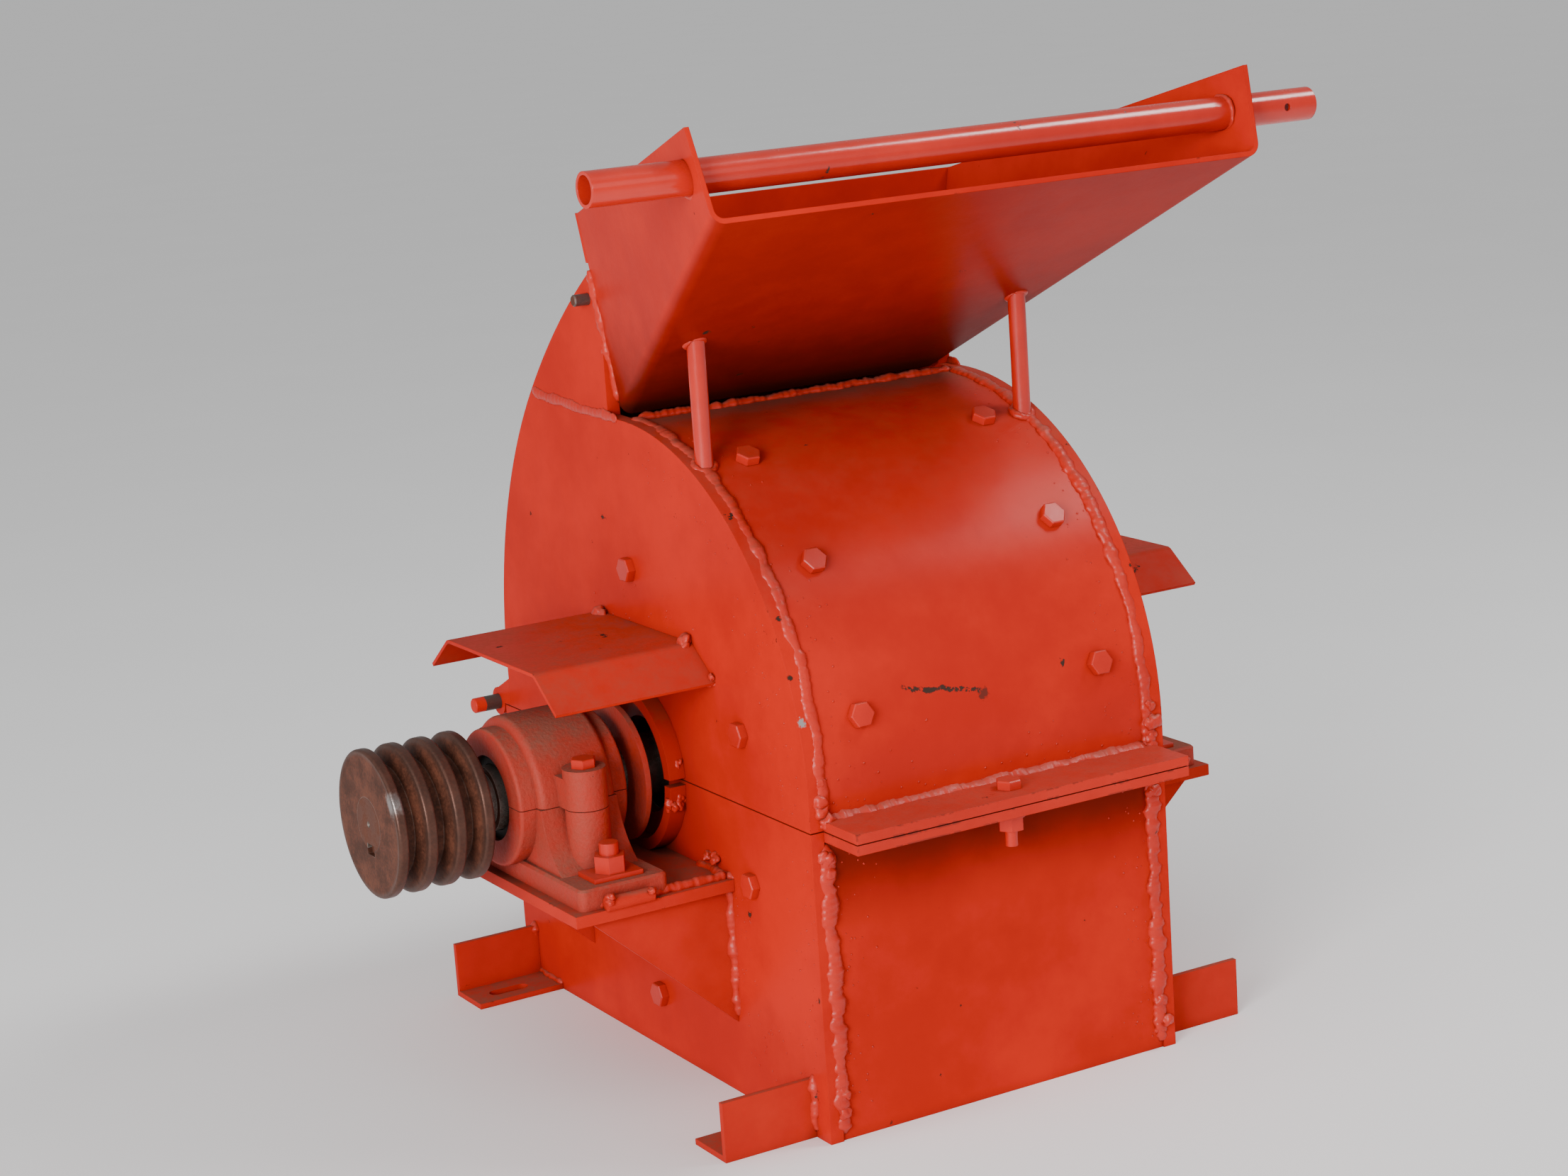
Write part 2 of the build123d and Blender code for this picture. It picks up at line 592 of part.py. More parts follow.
bolt_columns = [(x, y) for x in (-BEARING_X, BEARING_X) for y in (-1, 1)]
cap_bolt = hex_bolt(BOLT_FLATS, BOLT_HEAD, BOLT_D, CAP_BOLT_DEPTH)
with BuildPart() as bearing_cap_bolts:
    with Locations(*[(x, side * BOSS_Y, SHAFT_Z + BOSS_TOP) for x, side in bolt_columns]):
        add(cap_bolt)

BASE_STACK = BRACKET + FOOT_THICK + WASHER
base_bolt = hex_bolt(
    BASE_BOLT_FLATS,
    BASE_BOLT_HEAD,
    BASE_BOLT_D,
    BASE_STACK + BASE_NUT + THREAD_STANDS,
)
with BuildPart() as bearing_base_bolts:
    for x, side in bolt_columns:
        under = (x, side * BASE_BOLT_Y, BEARING_FOOT_Z - BRACKET)
        with Locations(Plane(origin=under, x_dir=(1, 0, 0), z_dir=(0, 0, -1)).location):
            add(base_bolt)

with BuildPart() as bearing_base_nuts:
    for x, side in bolt_columns:
        with BuildSketch(Plane.XY.offset(BEARING_FOOT_Z + FOOT_THICK)):
            with Locations((x, side * BASE_BOLT_Y)):
                Rectangle(WASHER_LENGTH, WASHER_WIDTH)
                Circle(BASE_HOLE / 2, mode=Mode.SUBTRACT)
        extrude(amount=WASHER)
        with Locations((x, side * BASE_BOLT_Y, BEARING_FOOT_Z + FOOT_THICK + WASHER + SEAT_GAP)):
            add(hex_nut(BASE_BOLT_FLATS, BASE_NUT, BASE_BOLT_D))


def ring(x, width, inner, outer):
    """Ring about the shaft axis, from X to X plus its width."""
    with BuildPart() as washer:
        with BuildSketch(Plane.YZ.offset(x)):
            with Locations((0, SHAFT_Z)):
                Circle(outer)
                Circle(inner, mode=Mode.SUBTRACT)
        extrude(amount=width)
    return washer.part


INNER_RING_R = BEARING_SHAFT_D / 2 + RING
with BuildPart() as bearing_outer_rings:
    for centre in (-BEARING_X, BEARING_X):
        add(ring(centre - BEARING_WIDTH / 2, BEARING_WIDTH, BEARING_SEAT_R - RING, BEARING_SEAT_R))
        for shield_x in (centre - BEARING_WIDTH / 2, centre + BEARING_WIDTH / 2 - SHIELD):
            add(ring(shield_x, SHIELD, INNER_RING_R + SHIELD_GAP, BEARING_SEAT_R - RING))

with BuildPart() as bearing_inner_rings:
    for centre in (-BEARING_X, BEARING_X):
        add(ring(centre - BEARING_WIDTH / 2, BEARING_WIDTH, BEARING_SHAFT_D / 2, INNER_RING_R))

with BuildPart() as bearing_seals:
    for centre in (-BEARING_X, BEARING_X):
        for end in (-1, 1):
            wall_x = centre + end * (BEARING_BODY_WIDTH - HOUSING_WALL) / 2
            add(ring(wall_x - SEAL / 2, SEAL, BEARING_SHAFT_D / 2 + SEAL_GAP, SEAL_R))


def half_collars(upper):
    """Half rings on both side plates round the shaft hole."""
    sign = 1 if upper else -1
    with BuildPart() as collars:
        for x in (-HALF_WIDTH - COLLAR, HALF_WIDTH):
            add(ring(x, COLLAR, COLLAR_BORE, COLLAR_R))
        with BuildSketch(Plane.YZ.offset(-HALF_WIDTH - COLLAR)):
            with Locations((0, SHAFT_Z + sign * (COLLAR_GAP - COLLAR_R))):
                Rectangle(2 * COLLAR_R, 2 * COLLAR_R)
        extrude(amount=2 * (HALF_WIDTH + COLLAR), mode=Mode.SUBTRACT)
    return collars


lower_collars = half_collars(False)

# ==== feet ====
def foot(side, end):
    """Angle-iron foot with one slot: side is -1 left, 1 right; end is -1 front, 1 rear."""
    face_x = side * HALF_WIDTH
    with BuildPart() as angle:
        with BuildSketch(Plane.YZ.offset(face_x)):
            with BuildLine():
                Polyline(
                    (end * FOOT_Y, 0),
                    (end * FOOT_Y, ANGLE),
                    (end * (FOOT_Y - ANGLE_THICK), ANGLE),
                    (end * (FOOT_Y - ANGLE_THICK), ANGLE_THICK),
                    (end * (FOOT_Y - ANGLE), ANGLE_THICK),
                    (end * (FOOT_Y - ANGLE), 0),
                    close=True,
                )
            make_face()
        extrude(amount=side * FOOT_REACH)
        with BuildSketch(Plane.XY):
            with Locations((side * SLOT_X, end * (FOOT_Y - SLOT_INSET))):
                SlotOverall(SLOT_LENGTH, SLOT_WIDTH)
        extrude(amount=ANGLE_THICK, mode=Mode.SUBTRACT)
    return angle


foot_front_left = foot(-1, -1)
foot_front_right = foot(1, -1)
foot_rear_left = foot(-1, 1)
foot_rear_right = foot(1, 1)

# ==== upper half of the housing ====
with BuildPart() as side_plate_upper_left:
    with BuildSketch(Plane.YZ.offset(-HALF_WIDTH)):
        with BuildLine():
            Line((-HALF_DEPTH, UPPER_BOTTOM), (-HALF_DEPTH, FRONT_ARC_Z))
            CenterArc(FRONT_CENTRE, HALF_DEPTH, 180, -90)
            Line((0, CHUTE_FOOT_Z), SPLICE_POINT)
            CenterArc(REAR_CENTRE, REAR_R, SPLICE_ANGLE, -SPLICE_ANGLE)
            Line((REAR_FACE, REAR_ARC_Z), (REAR_FACE, UPPER_BOTTOM))
            Line((REAR_FACE, UPPER_BOTTOM), (-HALF_DEPTH, UPPER_BOTTOM))
        make_face()
        with Locations((0, SHAFT_Z)):
            Circle(SHAFT_HOLE_R, mode=Mode.SUBTRACT)
        side_holes(UPPER_SIDE_BOLTS)
    extrude(amount=PLATE)

with BuildPart() as side_plate_upper_right:
    mirror(side_plate_upper_left.part, about=Plane.YZ)

with BuildPart() as throat_plates:
    for plate_x in (-HALF_WIDTH, INNER_HALF):
        with BuildSketch(Plane.YZ.offset(plate_x)):
            with BuildLine():
                Line(SPLICE_POINT, (CHUTE_BACK_Y, CHUTE_FOOT_Z + SEAM_SLOPE * CHUTE_BACK_Y))
                Line((CHUTE_BACK_Y, CHUTE_FOOT_Z + SEAM_SLOPE * CHUTE_BACK_Y), THROAT_TOP)
                CenterArc(
                    THROAT_CENTRE,
                    THROAT_R,
                    THROAT_TOP_ANGLE,
                    SPLICE_ANGLE - THROAT_TOP_ANGLE,
                )
            make_face()
            with Locations((FLAP_PIN_Y, FLAP_PIN_Z)):
                Circle(FLAP_PIN_D / 2 + RUN_FIT, mode=Mode.SUBTRACT)
        extrude(amount=PLATE)


def rolled_front(half_width, outer, thick, lift, end_angle):
    """Front sheet or liner: straight from its lower edge, then round to the given angle."""
    inner = outer - thick
    sweep = end_angle - 180
    with BuildPart() as sheet:
        with BuildSketch(Plane.YZ.offset(-half_width)):
            with BuildLine():
                outside = CenterArc(FRONT_CENTRE, outer, 180, sweep)
                inside = CenterArc(FRONT_CENTRE, inner, 180, sweep)
                Line(outside @ 1, inside @ 1)
                Polyline(
                    outside @ 0,
                    (-outer, UPPER_BOTTOM + lift),
                    (-inner, UPPER_BOTTOM + lift),
                    inside @ 0,
                )
            make_face()
        extrude(amount=2 * half_width)
    return sheet.part


def front_bolt_places():
    """Planes on the front cover's outer face, one for each cover bolt."""
    places = []
    for angle in COVER_BOLT_ANGLES:
        y, z = polar(FRONT_CENTRE, SHEET_FRONT, 180 - angle)
        outward = (0, y, z - FRONT_ARC_Z)
        for x in (-COVER_BOLT_X, COVER_BOLT_X):
            places.append(Plane(origin=(x, y, z), x_dir=(1, 0, 0), z_dir=outward).location)
    return places


THROAT_FRONT_ANGLE = 90 - math.degrees(math.asin((CHUTE_BACK_Y - CHUTE_SHEET) / SHEET_FRONT))
with BuildPart() as front_cover:
    add(rolled_front(INNER_HALF, SHEET_FRONT, ROLLED_SHEET, 0, THROAT_FRONT_ANGLE))
    with Locations(*front_bolt_places()):
        Cylinder(BOLT_HOLE / 2, 4 * ROLLED_SHEET, mode=Mode.SUBTRACT)

LINER_OUT = SHEET_FRONT - ROLLED_SHEET - CURVED_FIT
with BuildPart() as front_liner:
    liner_half = INNER_HALF - SIDE_LINER - CURVED_FIT
    add(rolled_front(liner_half, LINER_OUT, LINER, SPLIT_GAP, THROAT_FRONT_ANGLE + LINER_SHORT))
    with Locations(*front_bolt_places()):
        Cylinder(BOLT_D / 2, 8 * LINER, mode=Mode.SUBTRACT)

cover_bolt = hex_bolt(BOLT_FLATS, BOLT_HEAD, BOLT_D, ROLLED_SHEET + CURVED_FIT + LINER)
with BuildPart() as cover_bolts:
    with Locations(*front_bolt_places()):
        add(cover_bolt)
    bolts_in_sides(UPPER_SIDE_BOLTS)

upper_side_liners = half_liners(UPPER_SIDE_BOLTS, False)

# The rear cover is one rolled sheet from the split plane up to the back of the chute.
REAR_OUT = REAR_R - INSET
THROAT_OUT = THROAT_R - INSET
with BuildPart() as rear_cover:
    with BuildSketch(Plane.YZ.offset(-INNER_HALF)):
        with BuildLine():
            loops = []
            for depth in (0, REAR_SHEET):
                low = CenterArc(REAR_CENTRE, REAR_OUT - depth, 0, SPLICE_ANGLE)
                sweep = THROAT_TOP_ANGLE - REAR_COVER_SHORT - SPLICE_ANGLE
                high = CenterArc(THROAT_CENTRE, THROAT_OUT - depth, SPLICE_ANGLE, sweep)
                foot_point = (REAR_FACE - INSET - depth, UPPER_BOTTOM)
                Line(foot_point, low @ 0)
                loops.append((foot_point, high @ 1))
            Line(loops[0][0], loops[1][0])
            Line(loops[0][1], loops[1][1])
        make_face()
    extrude(amount=2 * INNER_HALF)

with BuildPart() as upper_flange:
    with BuildSketch(Plane.XY.offset(UPPER_BOTTOM)):
        with Locations((0, FLANGE_BOLT_Y)):
            Rectangle(2 * INNER_HALF, FLANGE_WIDTH)
            Circle(BOLT_HOLE / 2, mode=Mode.SUBTRACT)
    extrude(amount=FLANGE)

with BuildPart() as flange_bolt:
    with Locations((0, FLANGE_BOLT_Y, UPPER_BOTTOM + FLANGE)):
        add(hex_bolt(BOLT_FLATS, BOLT_HEAD, BOLT_D, FLANGE_BOLT_LENGTH, THREAD_ROOT, FLANGE))

with BuildPart() as hinge_eyes:
    for eye_x in (-HALF_WIDTH, INNER_HALF):
        with BuildSketch(Plane.YZ.offset(eye_x)):
            with Locations((HINGE_Y, SHAFT_Z)):
                Circle(HINGE_EYE_R)
            with BuildLine():
                Polyline(
                    (REAR_FACE, UPPER_BOTTOM),
                    (HINGE_Y, UPPER_BOTTOM),
                    (HINGE_Y, SHAFT_Z + HINGE_EYE_R),
                    (REAR_FACE, SHAFT_Z + 2 * HINGE_EYE_R),
                    close=True,
                )
            make_face()
            with Locations((HINGE_Y, SHAFT_Z)):
                Circle(HINGE_PIN_D / 2 + RUN_FIT, mode=Mode.SUBTRACT)
        extrude(amount=PLATE)

upper_collars = half_collars(True)

# ==== feed chute ====
foot_corner = Vector(CHUTE_FOOT_HALF, CHUTE_BACK_Y, CHUTE_FOOT_Z)
lip_corner = Vector(CHUTE_MOUTH_HALF, -CHUTE_REACH, CHUTE_LIP_Z)
top_corner = Vector(CHUTE_TOP_HALF, -CHUTE_REACH + CHUTE_SIDE_RAKE, CHUTE_LIP_Z + CHUTE_SIDE)
wing_normal = (top_corner - foot_corner).cross(lip_corner - foot_corner).normalized()
right_wing = Plane(origin=foot_corner, z_dir=wing_normal)
left_wing = Plane(
    origin=(-foot_corner.X, foot_corner.Y, foot_corner.Z),
    z_dir=(-wing_normal.X, wing_normal.Y, wing_normal.Z),
)
FLOOR_TILT = math.degrees(math.atan2(CHUTE_LIP_RISE, CHUTE_REACH + CHUTE_BACK_Y))
chute_floor_plane = Plane(
    origin=(0, CHUTE_BACK_Y, CHUTE_FOOT_Z),
    x_dir=(1, 0, 0),
    z_dir=(0, math.sin(math.radians(FLOOR_TILT)), math.cos(math.radians(FLOOR_TILT))),
)
with BuildPart() as feed_chute:
    with BuildSketch(Plane.YZ):
        with BuildLine():
            Polyline(
                (CHUTE_BACK_Y, CHUTE_FOOT_Z),
                (-CHUTE_REACH, CHUTE_LIP_Z),
                (-CHUTE_REACH + CHUTE_SIDE_RAKE, CHUTE_LIP_Z + CHUTE_SIDE),
                (CHUTE_BACK_Y, CHUTE_BACK_Z),
                close=True,
            )
        make_face()
    extrude(amount=2 * CHUTE_TOP_HALF, both=True)
    split(bisect_by=right_wing, keep=Keep.BOTTOM)
    split(bisect_by=left_wing, keep=Keep.BOTTOM)
    floor_face = feed_chute.faces().filter_by(lambda f: f.normal_at().Z < -0.5)[0]
    fillet(floor_face.edges().filter_by(Axis.X, reverse=True), radius=FOLD_R)
    open_faces = feed_chute.faces().filter_by(
        lambda f: f.normal_at().Y < -0.9 or f.normal_at().Y > 0.9 or f.normal_at().Z > 0.5
    )
    offset(amount=-CHUTE_SHEET, openings=open_faces)
    with Locations((0, BAR_Y, BAR_Z)):
        Cylinder(BAR_OD / 2 + WELD_FIT, 2 * BAR_HALF, rotation=(0, 90, 0), mode=Mode.SUBTRACT)


def wing_half_width(y, z):
    """Outer face of the wings from the middle plane, at a point of the side view."""
    shift = wing_normal.Y * (y - foot_corner.Y) + wing_normal.Z * (z - foot_corner.Z)
    return foot_corner.X - shift / wing_normal.X


# The back wall closes the chute between its wings, and stands on the throat plates.
with BuildPart() as chute_back:
    wall_top = wing_half_width(CHUTE_BACK_Y, CHUTE_BACK_Z)
    wall_low = wing_half_width(CHUTE_BACK_Y, THROAT_TOP[1])
    with BuildSketch(Plane.XZ.offset(-CHUTE_BACK_Y)):
        with BuildLine():
            Polyline(
                (-wall_top, CHUTE_BACK_Z),
                (wall_top, CHUTE_BACK_Z),
                (wall_low, THROAT_TOP[1]),
                (INNER_HALF, THROAT_TOP[1]),
                (INNER_HALF, THROAT_TOP[1] - PLATE / 2),
                (-INNER_HALF, THROAT_TOP[1] - PLATE / 2),
                (-INNER_HALF, THROAT_TOP[1]),
                (-wall_low, THROAT_TOP[1]),
                close=True,
            )
        make_face()
    extrude(amount=-CHUTE_SHEET)

with BuildPart() as crossbar:
    with BuildSketch(Plane.YZ.offset(-BAR_HALF)):
        with Locations((BAR_Y, BAR_Z)):
            Circle(BAR_OD / 2)
            Circle(BAR_ID / 2, mode=Mode.SUBTRACT)
    extrude(amount=2 * BAR_HALF)
    with Locations((BAR_PIN_HOLE_X, BAR_Y, BAR_Z)):
        Cylinder(BAR_PIN_HOLE / 2, 2 * BAR_OD, rotation=(90, 0, 0), mode=Mode.SUBTRACT)

with BuildPart() as chute_struts:
    with BuildSketch(Plane.XY.offset(FRONT_ARC_Z)):
        with Locations((-STRUT_X, STRUT_Y), (STRUT_X, STRUT_Y)):
            Circle(STRUT_D / 2)
    extrude(amount=CHUTE_LIP_Z - FRONT_ARC_Z)
    with Locations((0, 0, FRONT_ARC_Z)):
        Cylinder(HALF_DEPTH, 4 * STRUT_X, rotation=(0, 90, 0), mode=Mode.SUBTRACT)
    split(bisect_by=chute_floor_plane, keep=Keep.BOTTOM)

# ==== guards over the bearings ====
with BuildPart() as guard_left:
    with BuildSketch(Plane.YZ.offset(-HALF_WIDTH - GUARD_REACH)):
        with BuildLine() as guard_line:
            outer_line = FilletPolyline(
                (GUARD_CENTRE_Y - GUARD_HALF_FLAT - GUARD_LIP_OUT, SHAFT_Z + GUARD_TOP - GUARD_LIP_DOWN),
                (GUARD_CENTRE_Y - GUARD_HALF_FLAT, SHAFT_Z + GUARD_TOP),
                (GUARD_CENTRE_Y + GUARD_HALF_FLAT, SHAFT_Z + GUARD_TOP),
                (GUARD_CENTRE_Y + GUARD_HALF_FLAT + GUARD_LIP_OUT, SHAFT_Z + GUARD_TOP - GUARD_LIP_DOWN),
                radius=GUARD_BEND_R,
            )
            offset(outer_line, amount=GUARD_SHEET, side=Side.RIGHT)
        make_face()
    extrude(amount=GUARD_REACH)

with BuildPart() as guard_right:
    mirror(guard_left.part, about=Plane.YZ)

# ==== feed flap: hangs from its pin in the throat and stops chips flying back up the chute ====
with BuildPart() as flap_pin:
    with BuildSketch(Plane.YZ.offset(-HALF_WIDTH - FLAP_PIN_STANDS)):
        with Locations((FLAP_PIN_Y, FLAP_PIN_Z)):
            Circle(FLAP_PIN_D / 2)
    extrude(amount=2 * (HALF_WIDTH + FLAP_PIN_STANDS))
    chamfer(flap_pin.edges(), length=PIN_CHAMFER)

with BuildPart() as feed_flap:
    flap_half = INNER_HALF - FLAP_SIDE_GAP
    with BuildSketch(Plane.YZ.offset(-flap_half)):
        with Locations((FLAP_PIN_Y, FLAP_PIN_Z - FLAP_LENGTH / 2)):
            Rectangle(FLAP_SHEET, FLAP_LENGTH)
        with Locations((FLAP_PIN_Y, FLAP_PIN_Z)):
            Circle(FLAP_EYE_R)
            Circle(FLAP_PIN_D / 2 + RUN_FIT, mode=Mode.SUBTRACT)
    extrude(amount=2 * flap_half)

# ==== rotor ====
SHOULDER_X = DISC_SPAN / 2 + DISC / 2 + DISC_END_GAP
RIGHT_END_X = BEARING_OUTER_X + STUB
KEY_LENGTH = PULLEY_WIDTH - 2 * KEY_INSET
with BuildPart() as rotor_shaft:
    with BuildSketch(Plane.XZ):
        with BuildLine():
            Polyline(
                (PULLEY_OUTER_X, SHAFT_Z),
                (PULLEY_OUTER_X, SHAFT_Z + PULLEY_SHAFT_D / 2),
                (-BEARING_OUTER_X - SHAFT_STEP, SHAFT_Z + PULLEY_SHAFT_D / 2),
                (-BEARING_OUTER_X - SHAFT_STEP, SHAFT_Z + BEARING_SHAFT_D / 2),
                (-SHOULDER_X, SHAFT_Z + BEARING_SHAFT_D / 2),
                (-SHOULDER_X, SHAFT_Z + DRUM_SHAFT_D / 2),
                (SHOULDER_X, SHAFT_Z + DRUM_SHAFT_D / 2),
                (SHOULDER_X, SHAFT_Z + BEARING_SHAFT_D / 2),
                (BEARING_OUTER_X + SHAFT_STEP, SHAFT_Z + BEARING_SHAFT_D / 2),
                (BEARING_OUTER_X + SHAFT_STEP, SHAFT_Z + PULLEY_SHAFT_D / 2),
                (RIGHT_END_X, SHAFT_Z + PULLEY_SHAFT_D / 2),
                (RIGHT_END_X, SHAFT_Z),
                close=True,
            )
        make_face()
    revolve(axis=SHAFT_AXIS)
    chamfer(rotor_shaft.faces().sort_by(Axis.X)[-1].edges(), length=SHAFT_CHAMFER)
    key_seat_z = SHAFT_Z - PULLEY_SHAFT_D / 2 + KEY_IN_SHAFT / 2
    with Locations((PULLEY_MIDDLE_X, 0, key_seat_z)):
        Box(KEY_LENGTH + 2 * KEY_INSET, KEY_WIDTH, KEY_IN_SHAFT, mode=Mode.SUBTRACT)
    with Locations((PULLEY_OUTER_X, 0, SHAFT_Z)):
        Cone(
            CENTRE_HOLE_TIP,
            CENTRE_HOLE_R,
            CENTRE_HOLE_DEPTH,
            rotation=(0, -90, 0),
            mode=Mode.SUBTRACT,
        )

with BuildPart() as pulley_key:
    key_z = SHAFT_Z - PULLEY_SHAFT_D / 2 + KEY_IN_SHAFT - KEY_HEIGHT / 2
    with Locations((PULLEY_MIDDLE_X, 0, key_z)):
        Box(KEY_LENGTH, KEY_WIDTH, KEY_HEIGHT)

with BuildPart() as drive_pulley:
    with BuildSketch(Plane.XZ):
        with Locations((PULLEY_MIDDLE_X, SHAFT_Z + (PULLEY_R + PULLEY_SHAFT_D / 2) / 2)):
            Rectangle(PULLEY_WIDTH, PULLEY_R - PULLEY_SHAFT_D / 2)
        for groove in range(PULLEY_GROOVES):
            groove_x = PULLEY_OUTER_X + GROOVE_EDGE + groove * GROOVE_PITCH
            with BuildLine():
                Polyline(
                    (groove_x - GROOVE_TOP / 2, SHAFT_Z + PULLEY_R + OVERLAP),
                    (groove_x - GROOVE_TOP / 2, SHAFT_Z + PULLEY_R),
                    (groove_x - GROOVE_BOTTOM / 2, SHAFT_Z + PULLEY_R - GROOVE_DEPTH),
                    (groove_x + GROOVE_BOTTOM / 2, SHAFT_Z + PULLEY_R - GROOVE_DEPTH),
                    (groove_x + GROOVE_TOP / 2, SHAFT_Z + PULLEY_R),
                    (groove_x + GROOVE_TOP / 2, SHAFT_Z + PULLEY_R + OVERLAP),
                    close=True,
                )
            make_face(mode=Mode.SUBTRACT)
    revolve(axis=SHAFT_AXIS)
    crown_edges = drive_pulley.edges().filter_by(
        lambda e: e.geom_type == GeomType.CIRCLE and e.radius > PULLEY_R - GROOVE_DEPTH / 2
    )
    fillet(crown_edges, radius=RIDGE_ROUND)
    key_way = KEY_HEIGHT - KEY_IN_SHAFT + KEY_FIT
    key_way_z = SHAFT_Z - (PULLEY_SHAFT_D + key_way) / 2 + OVERLAP
    with Locations((PULLEY_MIDDLE_X, 0, key_way_z)):
        Box(PULLEY_WIDTH, KEY_WIDTH + 2 * KEY_FIT, key_way + 2 * OVERLAP, mode=Mode.SUBTRACT)

PIN_TURNS = [HAMMERS_START + 360 / HAMMER_ROWS * row for row in range(HAMMER_ROWS)]
PIN_POINTS = [polar((0, SHAFT_Z), HAMMER_PIN_R, turn) for turn in PIN_TURNS]
DISC_STARTS = [-DISC_SPAN / 2 - DISC / 2 + step * (DISC_GAP + DISC) for step in range(DISC_COUNT)]
with BuildPart() as rotor_discs:
    for disc_x in DISC_STARTS:
        with BuildSketch(Plane.YZ.offset(disc_x)):
            with Locations((0, SHAFT_Z)):
                Circle(DISC_R)
                Circle(DRUM_SHAFT_D / 2, mode=Mode.SUBTRACT)
            with Locations(*PIN_POINTS):
                Circle(HAMMER_PIN_D / 2 + RUN_FIT, mode=Mode.SUBTRACT)
        extrude(amount=DISC)

with BuildPart() as hammer_pins:
    pin_half = DISC_SPAN / 2 + DISC / 2 + SIDE_GAP
    with BuildSketch(Plane.YZ.offset(-pin_half)):
        with Locations(*PIN_POINTS):
            Circle(HAMMER_PIN_D / 2)
    extrude(amount=2 * pin_half)
    for head_x in (-pin_half - PIN_HEAD, pin_half):
        with BuildSketch(Plane.YZ.offset(head_x)):
            with Locations(*PIN_POINTS):
                Circle(PIN_HEAD_R)
        extrude(amount=PIN_HEAD)


def hammer_starts(row):
    """Lowest X of each hammer on one pin, two between each pair of discs."""
    stagger = HAMMER_STAGGER * (row % 2)
    starts = []
    for disc_x in DISC_STARTS[:-1]:
        starts.append(disc_x + DISC + HAMMER_CLEAR + stagger)
        starts.append(disc_x + DISC + DISC_GAP - HAMMER_CLEAR - HAMMER - stagger)
    return starts


def sleeve_spans(row):
    """Start and end of each sleeve on one pin, where hammers and discs leave room for one."""
    starts = hammer_starts(row)
    spans = []
    for disc_x, near, far in zip(DISC_STARTS, starts[::2], starts[1::2]):
        face, next_face = disc_x + DISC, disc_x + DISC + DISC_GAP
        for low, high in ((face, near), (near + HAMMER, far), (far + HAMMER, next_face)):
            if high - low > 3 * HAMMER_CLEAR:
                spans.append((low + HAMMER_CLEAR, high - HAMMER_CLEAR))
    return spans


with BuildPart() as hammer_sleeves:
    for row, pin_point in enumerate(PIN_POINTS):
        for sleeve_start, sleeve_end in sleeve_spans(row):
            with BuildSketch(Plane.YZ.offset(sleeve_start)):
                with Locations(pin_point):
                    Circle(SLEEVE_R)
                    Circle(HAMMER_PIN_D / 2 + RUN_FIT, mode=Mode.SUBTRACT)
            extrude(amount=sleeve_end - sleeve_start)


def hammer_row(row):
    """All hammers of one pin, hanging straight down as they do when the rotor stands still."""
    reach = HAMMER_TIP_R - HAMMER_PIN_R
    pin_y, pin_z = PIN_POINTS[row]
    with BuildPart() as hammers:
        for hammer_x in hammer_starts(row):
            with BuildSketch(Plane.YZ.offset(hammer_x)):
                with Locations((pin_y, pin_z - reach / 2)):
                    Rectangle(HAMMER_WIDTH, reach)
                with Locations((pin_y, pin_z)):
                    Circle(HAMMER_WIDTH / 2)
                    Circle(HAMMER_PIN_D / 2 + RUN_FIT, mode=Mode.SUBTRACT)
            extrude(amount=HAMMER)
    return hammers


hammers_a, hammers_b, hammers_c, hammers_d = [hammer_row(row) for row in range(HAMMER_ROWS)]

FLINGER_X = BEARING_X - BEARING_BODY_WIDTH / 2 - FLINGER_GAP - FLINGER
with BuildPart() as flinger_discs:
    for flinger_x in (-FLINGER_X - FLINGER, FLINGER_X):
        add(ring(flinger_x, FLINGER, BEARING_SHAFT_D / 2, FLINGER_R))

